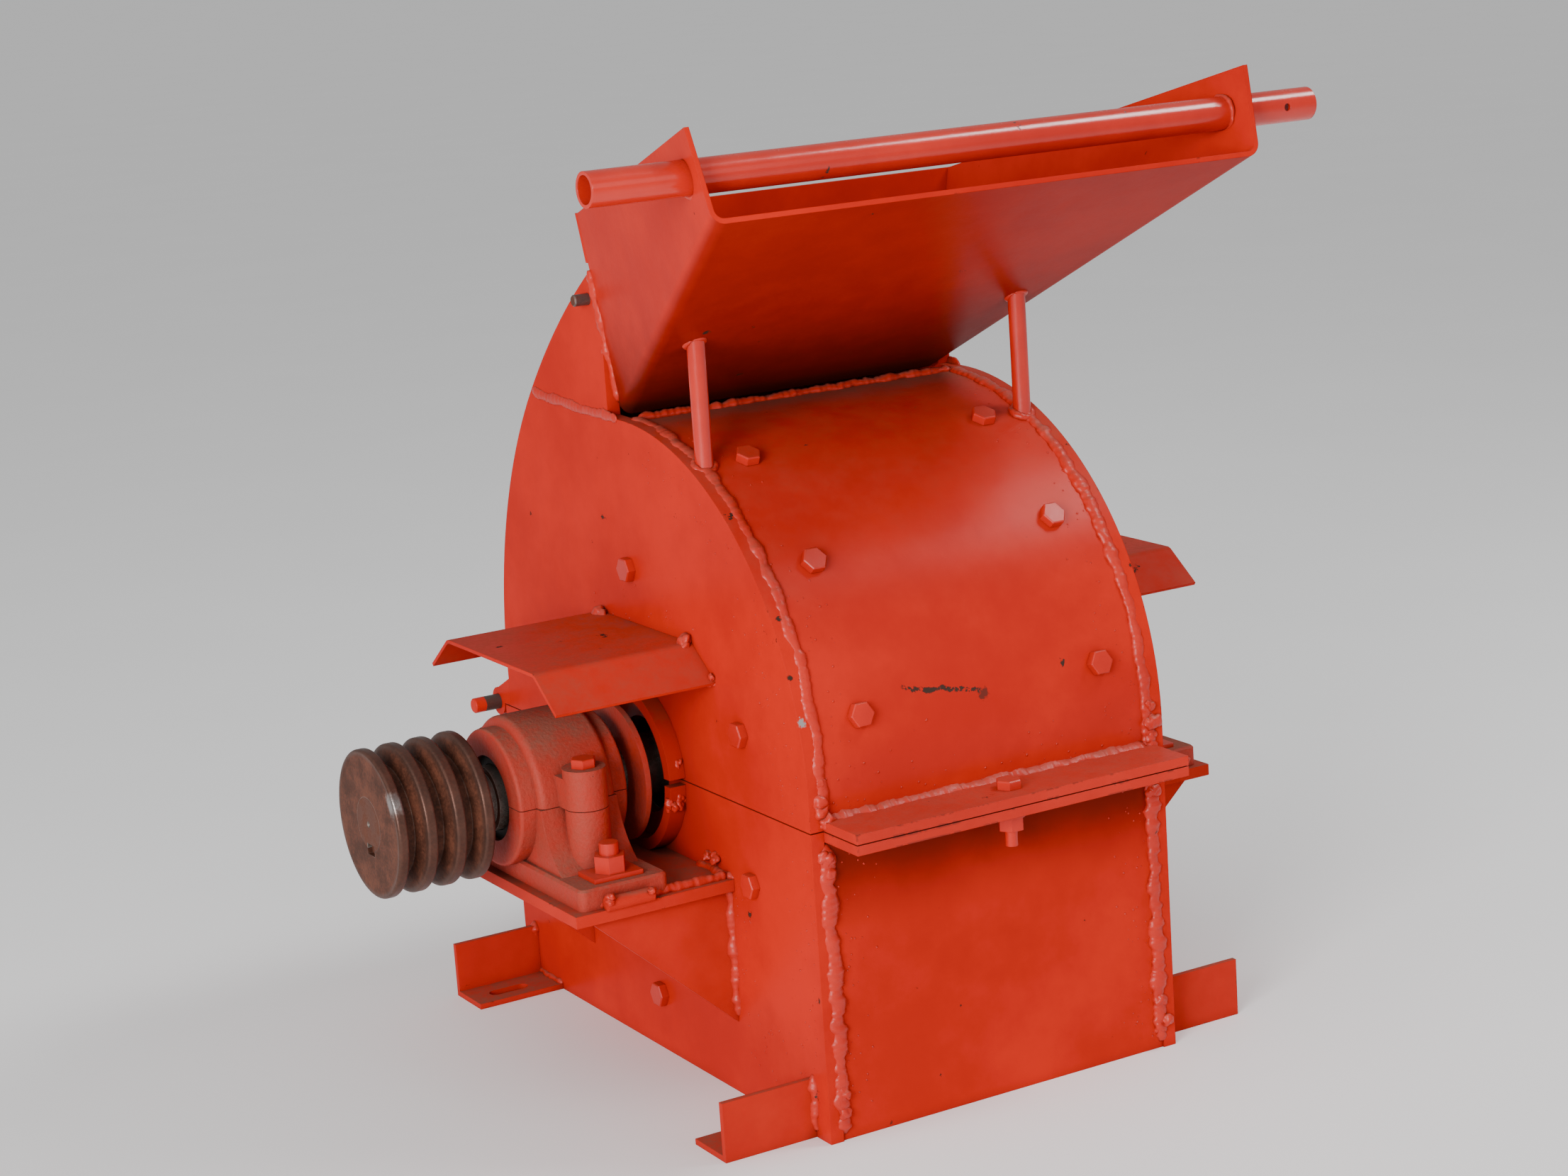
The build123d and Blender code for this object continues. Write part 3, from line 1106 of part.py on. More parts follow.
# ==== write every piece ====
pieces = {
    "side_plate_lower_left": side_plate_lower_left,
    "side_plate_lower_right": side_plate_lower_right,
    "front_panel": front_panel,
    "rear_panel": rear_panel,
    "lower_flange": lower_flange,
    "hinge_rail": hinge_rail,
    "hinge_pin": hinge_pin,
    "flange_nut": flange_nut,
    "lower_side_liners": lower_side_liners,
    "lower_side_bolts": lower_side_bolts,
    "screen": screen,
    "screen_ledges": screen_ledges,
    "bracket_left": bracket_left,
    "bracket_right": bracket_right,
    "bearing_base_left": bearing_base_left,
    "bearing_base_right": bearing_base_right,
    "bearing_cap_left": bearing_cap_left,
    "bearing_cap_right": bearing_cap_right,
    "bearing_cap_bolts": bearing_cap_bolts,
    "bearing_base_bolts": bearing_base_bolts,
    "bearing_base_nuts": bearing_base_nuts,
    "bearing_outer_rings": bearing_outer_rings,
    "bearing_seals": bearing_seals,
    "lower_collars": lower_collars,
    "foot_front_left": foot_front_left,
    "foot_front_right": foot_front_right,
    "foot_rear_left": foot_rear_left,
    "foot_rear_right": foot_rear_right,
    "side_plate_upper_left": side_plate_upper_left,
    "side_plate_upper_right": side_plate_upper_right,
    "throat_plates": throat_plates,
    "front_cover": front_cover,
    "front_liner": front_liner,
    "cover_bolts": cover_bolts,
    "upper_side_liners": upper_side_liners,
    "rear_cover": rear_cover,
    "upper_flange": upper_flange,
    "flange_bolt": flange_bolt,
    "hinge_eyes": hinge_eyes,
    "upper_collars": upper_collars,
    "feed_chute": feed_chute,
    "chute_back": chute_back,
    "crossbar": crossbar,
    "chute_struts": chute_struts,
    "guard_left": guard_left,
    "guard_right": guard_right,
    "flap_pin": flap_pin,
    "feed_flap": feed_flap,
    "rotor_shaft": rotor_shaft,
    "pulley_key": pulley_key,
    "drive_pulley": drive_pulley,
    "bearing_inner_rings": bearing_inner_rings,
    "flinger_discs": flinger_discs,
    "rotor_discs": rotor_discs,
    "hammer_pins": hammer_pins,
    "hammer_sleeves": hammer_sleeves,
    "hammers_a": hammers_a,
    "hammers_b": hammers_b,
    "hammers_c": hammers_c,
    "hammers_d": hammers_d,
}

os.makedirs("parts", exist_ok=True)
for name, piece in pieces.items():
    piece.part.label = name
    export_step(piece.part, f"parts/{name}.step")
    solids = piece.part.solids()
    print(f"{name}: {len(solids)} solids, {sum(s.volume for s in solids) / 1000:.1f} cm3")
print(len(pieces), "pieces")
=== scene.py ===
# %% [markdown]
# # Wood chipper: painted plate, weld beads and worn iron around a fixed frame
# The machine is a swing-hammer mill. Its plates, bearings, pulley and rotor come from the CAD frame and
# stay exactly where they are. This notebook adds what a drawing leaves out: lumpy weld beads, spatter,
# thick enamel with dust and chips, rough castings and rusty iron.

# %% Load the frame
import json
import math
import random

import bmesh
import bpy
from mathutils import Matrix, Vector, noise


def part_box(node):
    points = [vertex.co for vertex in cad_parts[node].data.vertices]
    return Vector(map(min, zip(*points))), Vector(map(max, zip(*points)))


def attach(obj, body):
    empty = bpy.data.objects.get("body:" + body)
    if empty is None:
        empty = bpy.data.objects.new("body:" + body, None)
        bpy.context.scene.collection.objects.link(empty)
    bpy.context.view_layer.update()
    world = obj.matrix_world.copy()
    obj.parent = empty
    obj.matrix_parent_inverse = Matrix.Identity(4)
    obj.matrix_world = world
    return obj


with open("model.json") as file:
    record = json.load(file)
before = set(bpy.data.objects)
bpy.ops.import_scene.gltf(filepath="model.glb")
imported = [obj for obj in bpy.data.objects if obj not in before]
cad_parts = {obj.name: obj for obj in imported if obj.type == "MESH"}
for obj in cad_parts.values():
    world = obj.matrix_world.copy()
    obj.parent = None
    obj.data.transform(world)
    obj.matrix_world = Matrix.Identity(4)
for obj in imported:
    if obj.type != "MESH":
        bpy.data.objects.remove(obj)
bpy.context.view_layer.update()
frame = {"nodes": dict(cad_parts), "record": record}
nodes = frame["nodes"]

# %% [markdown]
# ## Places read from the frame
# A weld follows the edge that it joins, so its path has to come from the plates themselves. The boxes of
# the nodes give every straight edge. Two radii and a rise can't be read from a box, so they are named.

# %% Edges and radii of the housing
plate_low, plate_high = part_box("side_plate_upper_left")
OUTER_X = -plate_low.x                       # outer face of the side plates
INNER_X = -plate_high.x
DEPTH = -plate_low.y                         # shaft to the front edge of the side plates
SHEET_Y = -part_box("front_cover")[0].y        # outer face of the front panel and radius of the front cover
CHUTE_FOOT_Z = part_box("feed_chute")[0].z
ARC_Z = CHUTE_FOOT_Z - DEPTH                 # centre height of the front arc
UPPER_Z = plate_low.z                        # lower edge of the upper half
LOWER_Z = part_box("side_plate_lower_left")[1].z
SHAFT_Z = (UPPER_Z + LOWER_Z) / 2
REAR_Y = plate_high.y
SPLICE_Z = plate_high.z                      # seam between side plate and throat plate
REAR_RADIUS = 0.405
THROAT_RADIUS = 0.632
REAR_RISE = 0.038                            # straight rear edge above the split
REAR_CENTRE = (REAR_Y - REAR_RADIUS, SHAFT_Z + REAR_RISE)
SPLICE_TURN = math.asin((SPLICE_Z - REAR_CENTRE[1]) / REAR_RADIUS)
SPLICE_Y = REAR_CENTRE[0] + REAR_RADIUS * math.cos(SPLICE_TURN)
print("arc centre height", round(ARC_Z, 3), "splice at", round(SPLICE_Y, 3), round(SPLICE_Z, 3))

# %% [markdown]
# ## Camera
# The camera stands low at the front left corner, so the pulley side and the front are both seen and the
# chute shows its underside. A long lens keeps the plates' edges nearly parallel. The camera is tipped a
# little about its own axis, so the machine leans as it does for someone standing beside it.

# %% Camera
CAMERA_AT = Vector((-1.3552, -2.3411, 0.9883))
CAMERA_TURN = math.radians(-29.63)
CAMERA_RISE = math.radians(12.60)
CAMERA_ROLL = math.radians(-3.93)
CAMERA_LENS = 73.33                          # millimetres, for a film 36 mm wide
FILM_WIDTH = 36.0


def camera_axes(turn, rise, roll):
    """Right, up and back directions of a camera that looks at the machine."""
    back = Vector((math.sin(turn) * math.cos(rise), -math.cos(turn) * math.cos(rise), math.sin(rise)))
    level = Vector((0, 0, 1)).cross(back).normalized()
    upright = back.cross(level)
    right = level * math.cos(roll) + upright * math.sin(roll)
    return right, back.cross(right), back


camera_data = bpy.data.cameras.new("camera")
camera_data.sensor_width = FILM_WIDTH
camera_data.lens = CAMERA_LENS
camera = bpy.data.objects.new("camera", camera_data)
bpy.context.scene.collection.objects.link(camera)
right, up, back = camera_axes(CAMERA_TURN, CAMERA_RISE, CAMERA_ROLL)
camera.matrix_world = Matrix.Translation(CAMERA_AT) @ Matrix((right, up, back)).transposed().to_4x4()
bpy.context.scene.camera = camera
print("camera is", round(CAMERA_AT.length, 2), "m from the origin")

# %% [markdown]
# ## Studio
# Glossy enamel shows whatever surrounds it, so the room is plain and pale: a near white floor, an even
# white surround and soft lights. The large one on the left makes the pulley side the brightest face, and a
# very wide, weak sun reaches the far floor, which the square lights don't.

# %% Floor, surround and lights
FLOOR_SIZE = 90.0
SURROUND_STRENGTH = 0.42
MACHINE_MIDDLE = Vector((0, 0, 0.38))


def soft_light(name, at, size, watts):
    """Square area light that looks at the middle of the machine."""
    data = bpy.data.lights.new(name, "AREA")
    data.size = size
    data.energy = watts
    light = bpy.data.objects.new(name, data)
    light.location = at
    light.rotation_euler = (Vector(at) - MACHINE_MIDDLE).to_track_quat("Z", "Y").to_euler()
    bpy.context.scene.collection.objects.link(light)


floor_mesh = bpy.data.meshes.new("floor")
half = FLOOR_SIZE / 2
corners = [(-half, -half, 0), (half, -half, 0), (half, half, 0), (-half, half, 0)]
floor_mesh.from_pydata(corners, [], [(0, 1, 2, 3)])
floor = bpy.data.objects.new("floor", floor_mesh)
bpy.context.scene.collection.objects.link(floor)

world = bpy.data.worlds.new("surround")
world.use_nodes = True
glow = world.node_tree.nodes["Background"]
glow.inputs["Color"].default_value = (1.0, 1.0, 1.0, 1.0)
glow.inputs["Strength"].default_value = SURROUND_STRENGTH
bpy.context.scene.world = world

soft_light("left_key", (-2.5, -1.9, 1.1), 1.2, 95)
soft_light("front_fill", (0.9, -3.4, 1.9), 1.6, 9)
soft_light("top_right", (1.7, -0.9, 2.7), 0.8, 45)
sky_data = bpy.data.lights.new("soft_sky", "SUN")
sky_data.energy = 1.0
sky_data.angle = math.radians(80)
sky = bpy.data.objects.new("soft_sky", sky_data)
sky.rotation_euler = Vector((-0.70, -0.35, 0.62)).to_track_quat("Z", "Y").to_euler()
bpy.context.scene.collection.objects.link(sky)

# %% [markdown]
# ## Shader sums
# A finish is a lot of small sums on noise and normals. Written as Python sums they can be read, so one
# class wraps a socket and turns each operator into a Math node, and one method makes every other node.

# %% Socket sums and node making
class Signal:
    """A shader socket that takes part in sums."""

    def __init__(self, finish, socket):
        self.finish = finish
        self.socket = socket

    def combine(self, operation, first, second):
        return self.finish.make("Math", {"operation": operation}, {0: first, 1: second})

    def __add__(self, other):
        return self.combine("ADD", self, other)

    def __mul__(self, other):
        return self.combine("MULTIPLY", self, other)

    def __sub__(self, other):
        return self.combine("SUBTRACT", self, other)

    def __rsub__(self, other):
        return self.combine("SUBTRACT", other, self)

    __radd__ = __add__
    __rmul__ = __mul__


class Finish:
    """One material: its shader and the nodes that feed it."""

    def __init__(self, name):
        self.material = bpy.data.materials.new(name)
        self.material.use_nodes = True
        self.tree = self.material.node_tree
        self.shader = self.tree.nodes["Principled BSDF"]

    def feed(self, socket, value):
        if isinstance(value, Signal):
            self.tree.links.new(value.socket, socket)
        elif isinstance(value, tuple) and socket.type == "RGBA":
            socket.default_value = (*value, 1.0)
        else:
            socket.default_value = value

    def make(self, kind, settings=None, sockets=None, out=0):
        """Any node: its type, its settings, then the values or links of its sockets."""
        node = self.tree.nodes.new("ShaderNode" + kind)
        for key, value in (settings or {}).items():
            setattr(node, key, value)
        for key, value in (sockets or {}).items():
            self.feed(node.inputs[key], value)
        return Signal(self, node.outputs[out])

    def place(self):
        """Point of the surface in the machine's own frame."""
        return self.make("TexCoord", out="Object")

    def grain(self, scale, detail=3.0, rough=0.5):
        """Noise from 0 to 1 whose lumps are about 1 / scale metres across."""
        sockets = {"Vector": self.place(), "Scale": scale, "Detail": detail, "Roughness": rough}
        return self.make("TexNoise", {}, sockets, out="Fac")

    def step(self, value, low, high):
        """0 below low, 1 above high, smooth between."""
        settings = {"interpolation_type": "SMOOTHSTEP"}
        return self.make("MapRange", settings, {"Value": value, "From Min": low, "From Max": high})

    def blend(self, amount, first, second):
        """Colour between two colours."""
        settings = {"data_type": "RGBA", "clamp_factor": True}
        return self.make("Mix", settings, {0: amount, 6: first, 7: second}, out=2)

    def facing(self, axis):
        """How far the surface faces along X, Y or Z of the machine."""
        normal = self.make("TexCoord", out="Normal")
        return self.make("SeparateXYZ", {}, {0: normal}, out=axis)

    def rounded(self, radius):
        """Normal as if every edge had been rounded off by this radius."""
        return self.make("Bevel", {"samples": 4}, {"Radius": radius}, out="Normal")

    def edges(self, radius):
        """0 on flat metal, rising to 1 along outer edges and corners."""
        flat = self.make("NewGeometry", out="Normal")
        settings = {"operation": "DOT_PRODUCT"}
        agree = self.make("VectorMath", settings, {0: self.rounded(radius), 1: flat}, out="Value")
        return self.step(1.0 - agree, 0.02, 0.20)

    def relief(self, height, normal=None):
        """Bump from a height in millimetres."""
        sockets = {"Strength": 1.0, "Distance": 0.001, "Height": height}
        if normal:
            sockets["Normal"] = normal
        self.feed(self.shader.inputs["Normal"], self.make("Bump", {}, sockets))

    def wear(self, color, roughness, metallic=0.0):
        """Colour, roughness and metal of the surface."""
        self.feed(self.shader.inputs["Base Color"], color)
        self.feed(self.shader.inputs["Roughness"], roughness)
        self.feed(self.shader.inputs["Metallic"], metallic)


print("shader helpers are ready")

# %% [markdown]
# ## Enamel on welded plate
# The machine was sprayed with thick orange-red enamel over bare plate. It isn't one colour: it is deeper
# where it lies thick, brown where dust has settled on surfaces that face up, and chipped to dark steel
# along edges. Shade is painted into it as well: dark in corners, under the lower flange, towards the
# chute's foot, on faces that look down, and round the shaft, where it lies with grease. Painting all that
# by hand would tie it to one view, so each effect is a mask made from the surface's own normal, its edges
# and noise, and it holds from every side.

# %% Enamel finish
RED = (0.550, 0.018, 0.007)
DEEP_RED = (0.440, 0.013, 0.006)
DUST = (0.230, 0.072, 0.048)
# painted shade in corners, and grease with painted shade round the shaft
SHADE_AND_GREASE = (0.070, 0.012, 0.008)
# painted shade under the flange, towards the chute's foot and on faces that look down
PAINTED_SHADE = (0.085, 0.006, 0.003)
BARE = (0.045, 0.022, 0.016)
STEEL = (0.270, 0.240, 0.230)
SCUFF_X, SCUFF_Z, SCUFF_HALF = -0.036, 0.348, 0.038      # where a branch has scraped the front cover
SCUFF_SLOPE = 0.20
SCUFF_LINE = 0.0022                          # half the width of the scrape
GOUGE_AT = (SCUFF_X + SCUFF_HALF, -0.2655, SCUFF_Z - 0.010)
GOUGE_RADIUS = 0.0062
CORNER_SHADE_REACH = 0.018                         # how near two plates must be for painted shade to gather between them
EDGE_REACH = 0.0035                          # how far from an edge the paint is rubbed
GREASE_SHADE_REACH = 0.13                            # how far from the shaft its grease and the guard's painted shade reach
SOFT_EDGE = 0.0009                           # radius of the paint over a plate's edge
EDGE_CHIPS = (                               # place, radius and colour of the chips on the left front edge
    ((-0.1680, -0.2665, 0.346), 0.0042, STEEL),
    ((-0.1640, -0.2340, 0.423), 0.0032, BARE),
    ((-0.1690, -0.2555, 0.380), 0.0026, BARE),
    ((-0.1700, -0.2700, 0.120), 0.0024, BARE),
)


def enamel(name, dust=0.7, film=0.0, lump=0.0, lump_scale=300.0, chips=0.5, gloss=0.32, red=RED, shine=0.03,
           drift=None, shade=None, under=0.0, grease_and_shade=0.0, scraped=False, edge_chips=()):
    """Thick red paint. lump is the height in millimetres of the roughness under it, lump_scale its grain.

    dust lies on faces that look up and film lies on every face. drift holds an axis and the two places along
    it between which dust grows, and shade the same for a band of painted shade. under is how much painted
    shade darkens the faces that look down, and soot how much grease and painted shade from the guards lie
    around the shaft. chips is how much paint is lost along edges, edge_chips holds single flakes, and scraped
    adds the scrape. gloss is the clean paint's roughness and shine how strongly it mirrors the room."""
    paint = Finish(name)
    broad = paint.grain(7.0, 4.0)
    cloud = paint.grain(38.0, 5.0, 0.62)
    fine = paint.grain(260.0, 4.0, 0.6)
    tone = paint.blend(paint.step(broad * 0.7 + cloud * 0.3, 0.36, 0.66), DEEP_RED, red)

    def grown(axis, start, end):
        along = paint.make("SeparateXYZ", {}, {0: paint.place()}, out=axis)
        return paint.step(along + (cloud - 0.5) * 0.03, start, end)

    def far_from(point):
        return paint.make("VectorMath", {"operation": "DISTANCE"}, {0: paint.place(), 1: point}, out="Value")

    patchy = 0.45 + paint.step(cloud * 0.45 + fine * 0.55, 0.30, 0.72) * 0.55
    settled = paint.step(paint.facing(2) + (cloud - 0.5) * 0.6, 0.45, 1.15) * patchy * dust
    if film:
        settled = settled + patchy * film
    if drift:
        settled = settled + grown(*drift) * 0.6
    # Painted shade: ambient occlusion darkens the paint where two plates meet and keep the light out.
    corner = 1.0 - paint.make("AmbientOcclusion", {"samples": 6}, {"Distance": CORNER_SHADE_REACH}, out="AO")
    corner = paint.step(corner + (cloud - 0.5) * 0.35, 0.28, 0.95)
    tone = paint.blend(settled, tone, DUST)
    # Painted shade, growing between two places along one axis.
    if shade:
        tone = paint.blend(grown(*shade) * 0.8, tone, PAINTED_SHADE)
    # Painted shade on faces that look down.
    if under:
        tone = paint.blend(paint.step(0.0 - paint.facing(2), 0.3, 0.8) * under, tone, PAINTED_SHADE)
    # Grease thrown from the shaft, together with painted shade under the guards and around the collars.
    if grease_and_shade:
        flat = paint.make("VectorMath", {"operation": "MULTIPLY"}, {0: paint.place(), 1: (0.0, 1.0, 1.0)})
        sockets = {0: flat, 1: (0.0, 0.0, SHAFT_Z)}
        reach = paint.make("VectorMath", {"operation": "DISTANCE"}, sockets, out="Value")
        grease_shade_mask = paint.step(GREASE_SHADE_REACH - reach + (cloud - 0.5) * 0.04, 0.0, 0.09)
        tone = paint.blend(grease_shade_mask * grease_and_shade, tone, SHADE_AND_GREASE)
    tone = paint.blend(corner * 0.72, tone, SHADE_AND_GREASE)

    rubbed = paint.edges(EDGE_REACH)
    worn_through = 1.09 - chips * 0.10
    chipped = paint.step(rubbed * 0.25 + cloud * 0.9 + fine * 0.35, worn_through, worn_through + 0.03)
    nick = paint.step(paint.grain(40.0, 2.0, 0.4) + fine * 0.35, 0.965 - chips * 0.03, 0.985 - chips * 0.03)
    bare = chipped * paint.step(rubbed, 0.1, 0.5) + nick
    if scraped:
        across = paint.make("SeparateXYZ", {}, {0: paint.place()}, out=0) - SCUFF_X
        height = paint.make("SeparateXYZ", {}, {0: paint.place()}, out=2) - SCUFF_Z
        sag = height + across * SCUFF_SLOPE + (cloud - 0.5) * 0.020
        off_line = paint.make("Math", {"operation": "ABSOLUTE"}, {0: sag})
        off_middle = paint.make("Math", {"operation": "ABSOLUTE"}, {0: across})
        line = paint.step(SCUFF_LINE - off_line + (fine - 0.5) * 0.004, 0.0, 0.0008)
        line = line * paint.step(SCUFF_HALF - off_middle, 0.0, 0.004) * paint.step(fine, 0.44, 0.50)
        gouge = paint.step(GOUGE_RADIUS - far_from(GOUGE_AT) + (fine - 0.5) * 0.016, 0.0, 0.003)
        bare = bare + line + gouge * 0.8
    tone = paint.blend(bare, tone, BARE)
    for place, radius, metal in edge_chips:
        flake = paint.step(radius - far_from(place) + (fine - 0.5) * 0.012, 0.0, 0.0014)
        tone = paint.blend(flake, tone, metal)

    worn_rough = gloss + settled * 0.34 + corner * 0.2 + bare * 0.2 + (fine - 0.5) * 0.10
    paint.wear(tone, worn_rough)
    peel = paint.grain(620.0, 2.0) * 0.035 + paint.grain(16.0, 2.0) * 0.55 - bare * 0.10 + fine * 0.03
    if lump:
        peel = peel + paint.grain(lump_scale, 4.0, 0.55) * lump
    paint.relief(peel, paint.rounded(SOFT_EDGE))
    paint.shader.inputs["Specular IOR Level"].default_value = shine
    return paint.material


SHELF_TOP = LOWER_Z - 0.010                  # painted shade under the flange starts from here
# Round the shaft, the plates and dusty shelves carry grease and painted shade from the guards.
plate_paint = enamel("plate_enamel", chips=0.8, grease_and_shade=0.45, edge_chips=EDGE_CHIPS)
# The front panel has a band of painted shade just under the lower flange.
panel_paint = enamel("panel_enamel", gloss=0.34, shade=(2, SHELF_TOP - 0.085, SHELF_TOP - 0.012))
cover_paint = enamel("cover_enamel", dust=0.35, shine=0.10, drift=(1, -0.062, -0.010), scraped=True)
# The chute gets painted shade: darker towards its foot and on faces that look down.
chute_paint = enamel("chute_enamel", dust=0.55, gloss=0.34, shade=(2, CHUTE_FOOT_Z + 0.12, CHUTE_FOOT_Z),
                     under=0.45)
flange_paint = enamel("flange_enamel", dust=0.45, film=0.10, chips=1.5, lump=0.10, gloss=0.36, shine=0.12)
dusty_paint = enamel("dusty_plate_enamel", dust=1.0, film=0.12, chips=1.1, gloss=0.38, grease_and_shade=0.3)
bolt_paint = enamel("fastener_enamel", dust=0.5, chips=0.5, lump=0.08, lump_scale=420.0, shine=0.30)
pipe_paint = enamel("pipe_enamel", dust=0.25, chips=1.3, gloss=0.20, shine=0.5)
strut_paint = enamel("strut_enamel", dust=0.2, chips=0.2, gloss=0.16, shine=0.6)
bead_paint = enamel("weld_enamel", dust=0.8, film=0.08, chips=0.4, lump=0.34, shine=0.28,
                    edge_chips=EDGE_CHIPS)
cast_paint = enamel("casting_enamel", dust=1.1, film=0.42, chips=0.4, lump=0.65, lump_scale=330.0, gloss=0.46,
                    red=(0.360, 0.024, 0.013), shine=0.16)
print("enamels:", [m.name for m in bpy.data.materials])

# %% [markdown]
# ## Iron and steel
# The pulley has never been painted. Its sides are brown with rust, and the belts keep the ridges dark and
# smooth. The shaft is turned steel, so fine rings run round it. Liners, screen and hammers are ground down
# by wood, and look dark and matt with brighter edges.

# %% Metal finishes
PULLEY_FACE_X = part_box("drive_pulley")[0].x
WORN_RIM = (PULLEY_FACE_X + 0.002, -0.050, SHAFT_Z + 0.026)      # where the pulley has been dragged bright
WORN_RADIUS = 0.013
RIDGE_FROM, RIDGE_TO = 0.0555, 0.0605        # radii between which the grooves' ridges are polished
RIM_FROM, RIM_TO = 0.050, 0.054              # radii past which the worn patch shows
RUST_DARK = (0.050, 0.018, 0.011)
RUST_LIGHT = (0.125, 0.042, 0.024)
RUST_POLISHED = (0.085, 0.048, 0.038)
RUST_RUBBED = (0.26, 0.19, 0.16)


def rusty_iron(name):
    """Brown rust film, polished dark where belts and hands rub."""
    iron = Finish(name)
    cloud = iron.grain(45.0, 5.0, 0.65)
    fine = iron.grain(420.0, 4.0, 0.6)
    place = iron.make("VectorMath", {"operation": "SUBTRACT"}, {0: iron.place(), 1: (0.0, 0.0, SHAFT_Z)})
    flat = iron.make("VectorMath", {"operation": "MULTIPLY"}, {0: place, 1: (0.0, 1.0, 1.0)})
    reach = iron.make("VectorMath", {"operation": "LENGTH"}, {0: flat}, out="Value")
    crown = iron.step(reach + (cloud - 0.5) * 0.004, RIDGE_FROM, RIDGE_TO)
    rub = iron.step(iron.edges(0.0025) + (cloud - 0.5) * 1.2, 0.75, 1.1)
    tone = iron.blend(iron.step(cloud * 0.6 + fine * 0.4, 0.38, 0.64), RUST_DARK, RUST_LIGHT)
    tone = iron.blend(crown * 0.55, tone, RUST_POLISHED)
    tone = iron.blend(rub * 0.7, tone, RUST_RUBBED)
    iron.shader.inputs["Specular IOR Level"].default_value = 0.12
    rim = iron.make("VectorMath", {"operation": "DISTANCE"}, {0: iron.place(), 1: WORN_RIM}, out="Value")
    bright = iron.step(WORN_RADIUS - rim + (cloud - 0.5) * 0.024 + (fine - 0.5) * 0.012, 0.0, 0.014)
    bright = bright * iron.step(reach, RIM_FROM, RIM_TO)
    tone = iron.blend(bright, tone, STEEL)
    rough = 0.56 - crown * 0.20 - rub * 0.20 - bright * 0.12 + (fine - 0.5) * 0.2
    iron.wear(tone, rough, rub * 0.7 + crown * 0.45 + bright * 0.5)
    rings = iron.make("TexWave", {"wave_type": "BANDS", "bands_direction": "X"},
                      {"Vector": iron.place(), "Scale": 420.0, "Distortion": 1.5}, out="Fac")
    iron.relief(fine * 0.10 + cloud * 0.15 + rings * 0.02, iron.rounded(0.0008))
    return iron.material


SAWN_DARK = (0.060, 0.022, 0.014)
SAWN_LIGHT = (0.125, 0.046, 0.028)
STEEL_EDGE = (0.42, 0.39, 0.36)


def turned_steel(name, bright=(0.20, 0.17, 0.15), stain=(0.075, 0.045, 0.032), metal=0.85, tip=0.0):
    """Steel with turning marks, stained by light rust and browner on its sawn end at -X.

    Paint covers it past tip, a distance along X from the middle."""
    steel = Finish(name)
    cloud = steel.grain(70.0, 5.0, 0.6)
    fine = steel.grain(700.0, 3.0)
    rust = steel.step(cloud + (fine - 0.5) * 0.4, 0.42, 0.70)
    rub = steel.edges(0.0015)
    tone = steel.blend(rust, bright, stain)
    tone = steel.blend(rub * 0.5, tone, STEEL_EDGE)
    sawn = steel.step(0.0 - steel.facing(0), 0.8, 0.95)
    tone = steel.blend(sawn, tone, steel.blend(cloud, SAWN_DARK, SAWN_LIGHT))
    shine = metal - rust * metal * 0.6
    rough = 0.34 + rust * 0.3 + sawn * 0.2 + (fine - 0.5) * 0.15
    if tip:
        across = steel.make("SeparateXYZ", {}, {0: steel.place()}, out=0)
        out = steel.make("Math", {"operation": "ABSOLUTE"}, {0: across})
        dipped = steel.step(out + (cloud - 0.5) * 0.004, tip, tip + 0.001)
        tone = steel.blend(dipped, tone, RED)
        sawn = sawn * (1.0 - dipped)
        shine = shine * (1.0 - dipped)
    steel.shader.inputs["Specular IOR Level"].default_value = 0.15
    steel.wear(tone, rough, shine * (1.0 - sawn))
    rings = steel.make("TexWave", {"wave_type": "BANDS", "bands_direction": "X"},
                       {"Vector": steel.place(), "Scale": 600.0, "Distortion": 0.6}, out="Fac")
    steel.relief(rings * 0.03 + fine * 0.03, steel.rounded(0.0006))
    return steel.material


def wear_plate(name):
    """Hard plate scoured by wood chips."""
    plate = Finish(name)
    cloud = plate.grain(30.0, 6.0, 0.65)
    fine = plate.grain(500.0, 4.0)
    rub = plate.step(plate.edges(0.003) + (cloud - 0.5) * 0.8, 0.4, 1.0)
    tone = plate.blend(plate.step(cloud, 0.35, 0.68), (0.060, 0.052, 0.048), (0.150, 0.105, 0.078))
    tone = plate.blend(rub, tone, (0.36, 0.34, 0.32))
    plate.wear(tone, 0.52 - rub * 0.18 + (fine - 0.5) * 0.2, 0.55 + rub * 0.35)
    plate.relief(fine * 0.08 + cloud * 0.35, plate.rounded(0.001))
    return plate.material


def felt_seal(name):
    """Black seal packed with old grease and dust."""
    seal = Finish(name)
    cloud = seal.grain(120.0, 4.0)
    tone = seal.blend(seal.step(cloud, 0.4, 0.7), (0.010, 0.009, 0.009), (0.045, 0.033, 0.026))
    seal.wear(tone, 0.6 + cloud * 0.2)
    seal.relief(seal.grain(900.0, 3.0) * 0.08)
    return seal.material


pulley_iron = rusty_iron("pulley_iron")
shaft_steel = turned_steel("shaft_steel")
pin_steel = turned_steel("pin_steel", bright=(0.13, 0.11, 0.10), stain=(0.12, 0.035, 0.022), metal=0.7)
pin_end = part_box("hinge_pin")[1].x
PAINTED_TIP = 0.011                          # length of the hinge pin's ends that was dipped in paint
tipped_pin = turned_steel("tipped_pin", bright=(0.10, 0.08, 0.07), stain=(0.09, 0.030, 0.020), metal=0.6,
                          tip=pin_end - PAINTED_TIP)
scoured_plate = wear_plate("scoured_plate")
seal_black = felt_seal("grease_seal")
print("metals:", [m.name for m in bpy.data.materials if "enamel" not in m.name])

# %% [markdown]
# ## Which node gets which finish
# The record already says what each piece is made of, so its material slots choose the finish. A few
# pieces stand out from their slot: dusty shelves, bolt heads and the handled pipe.

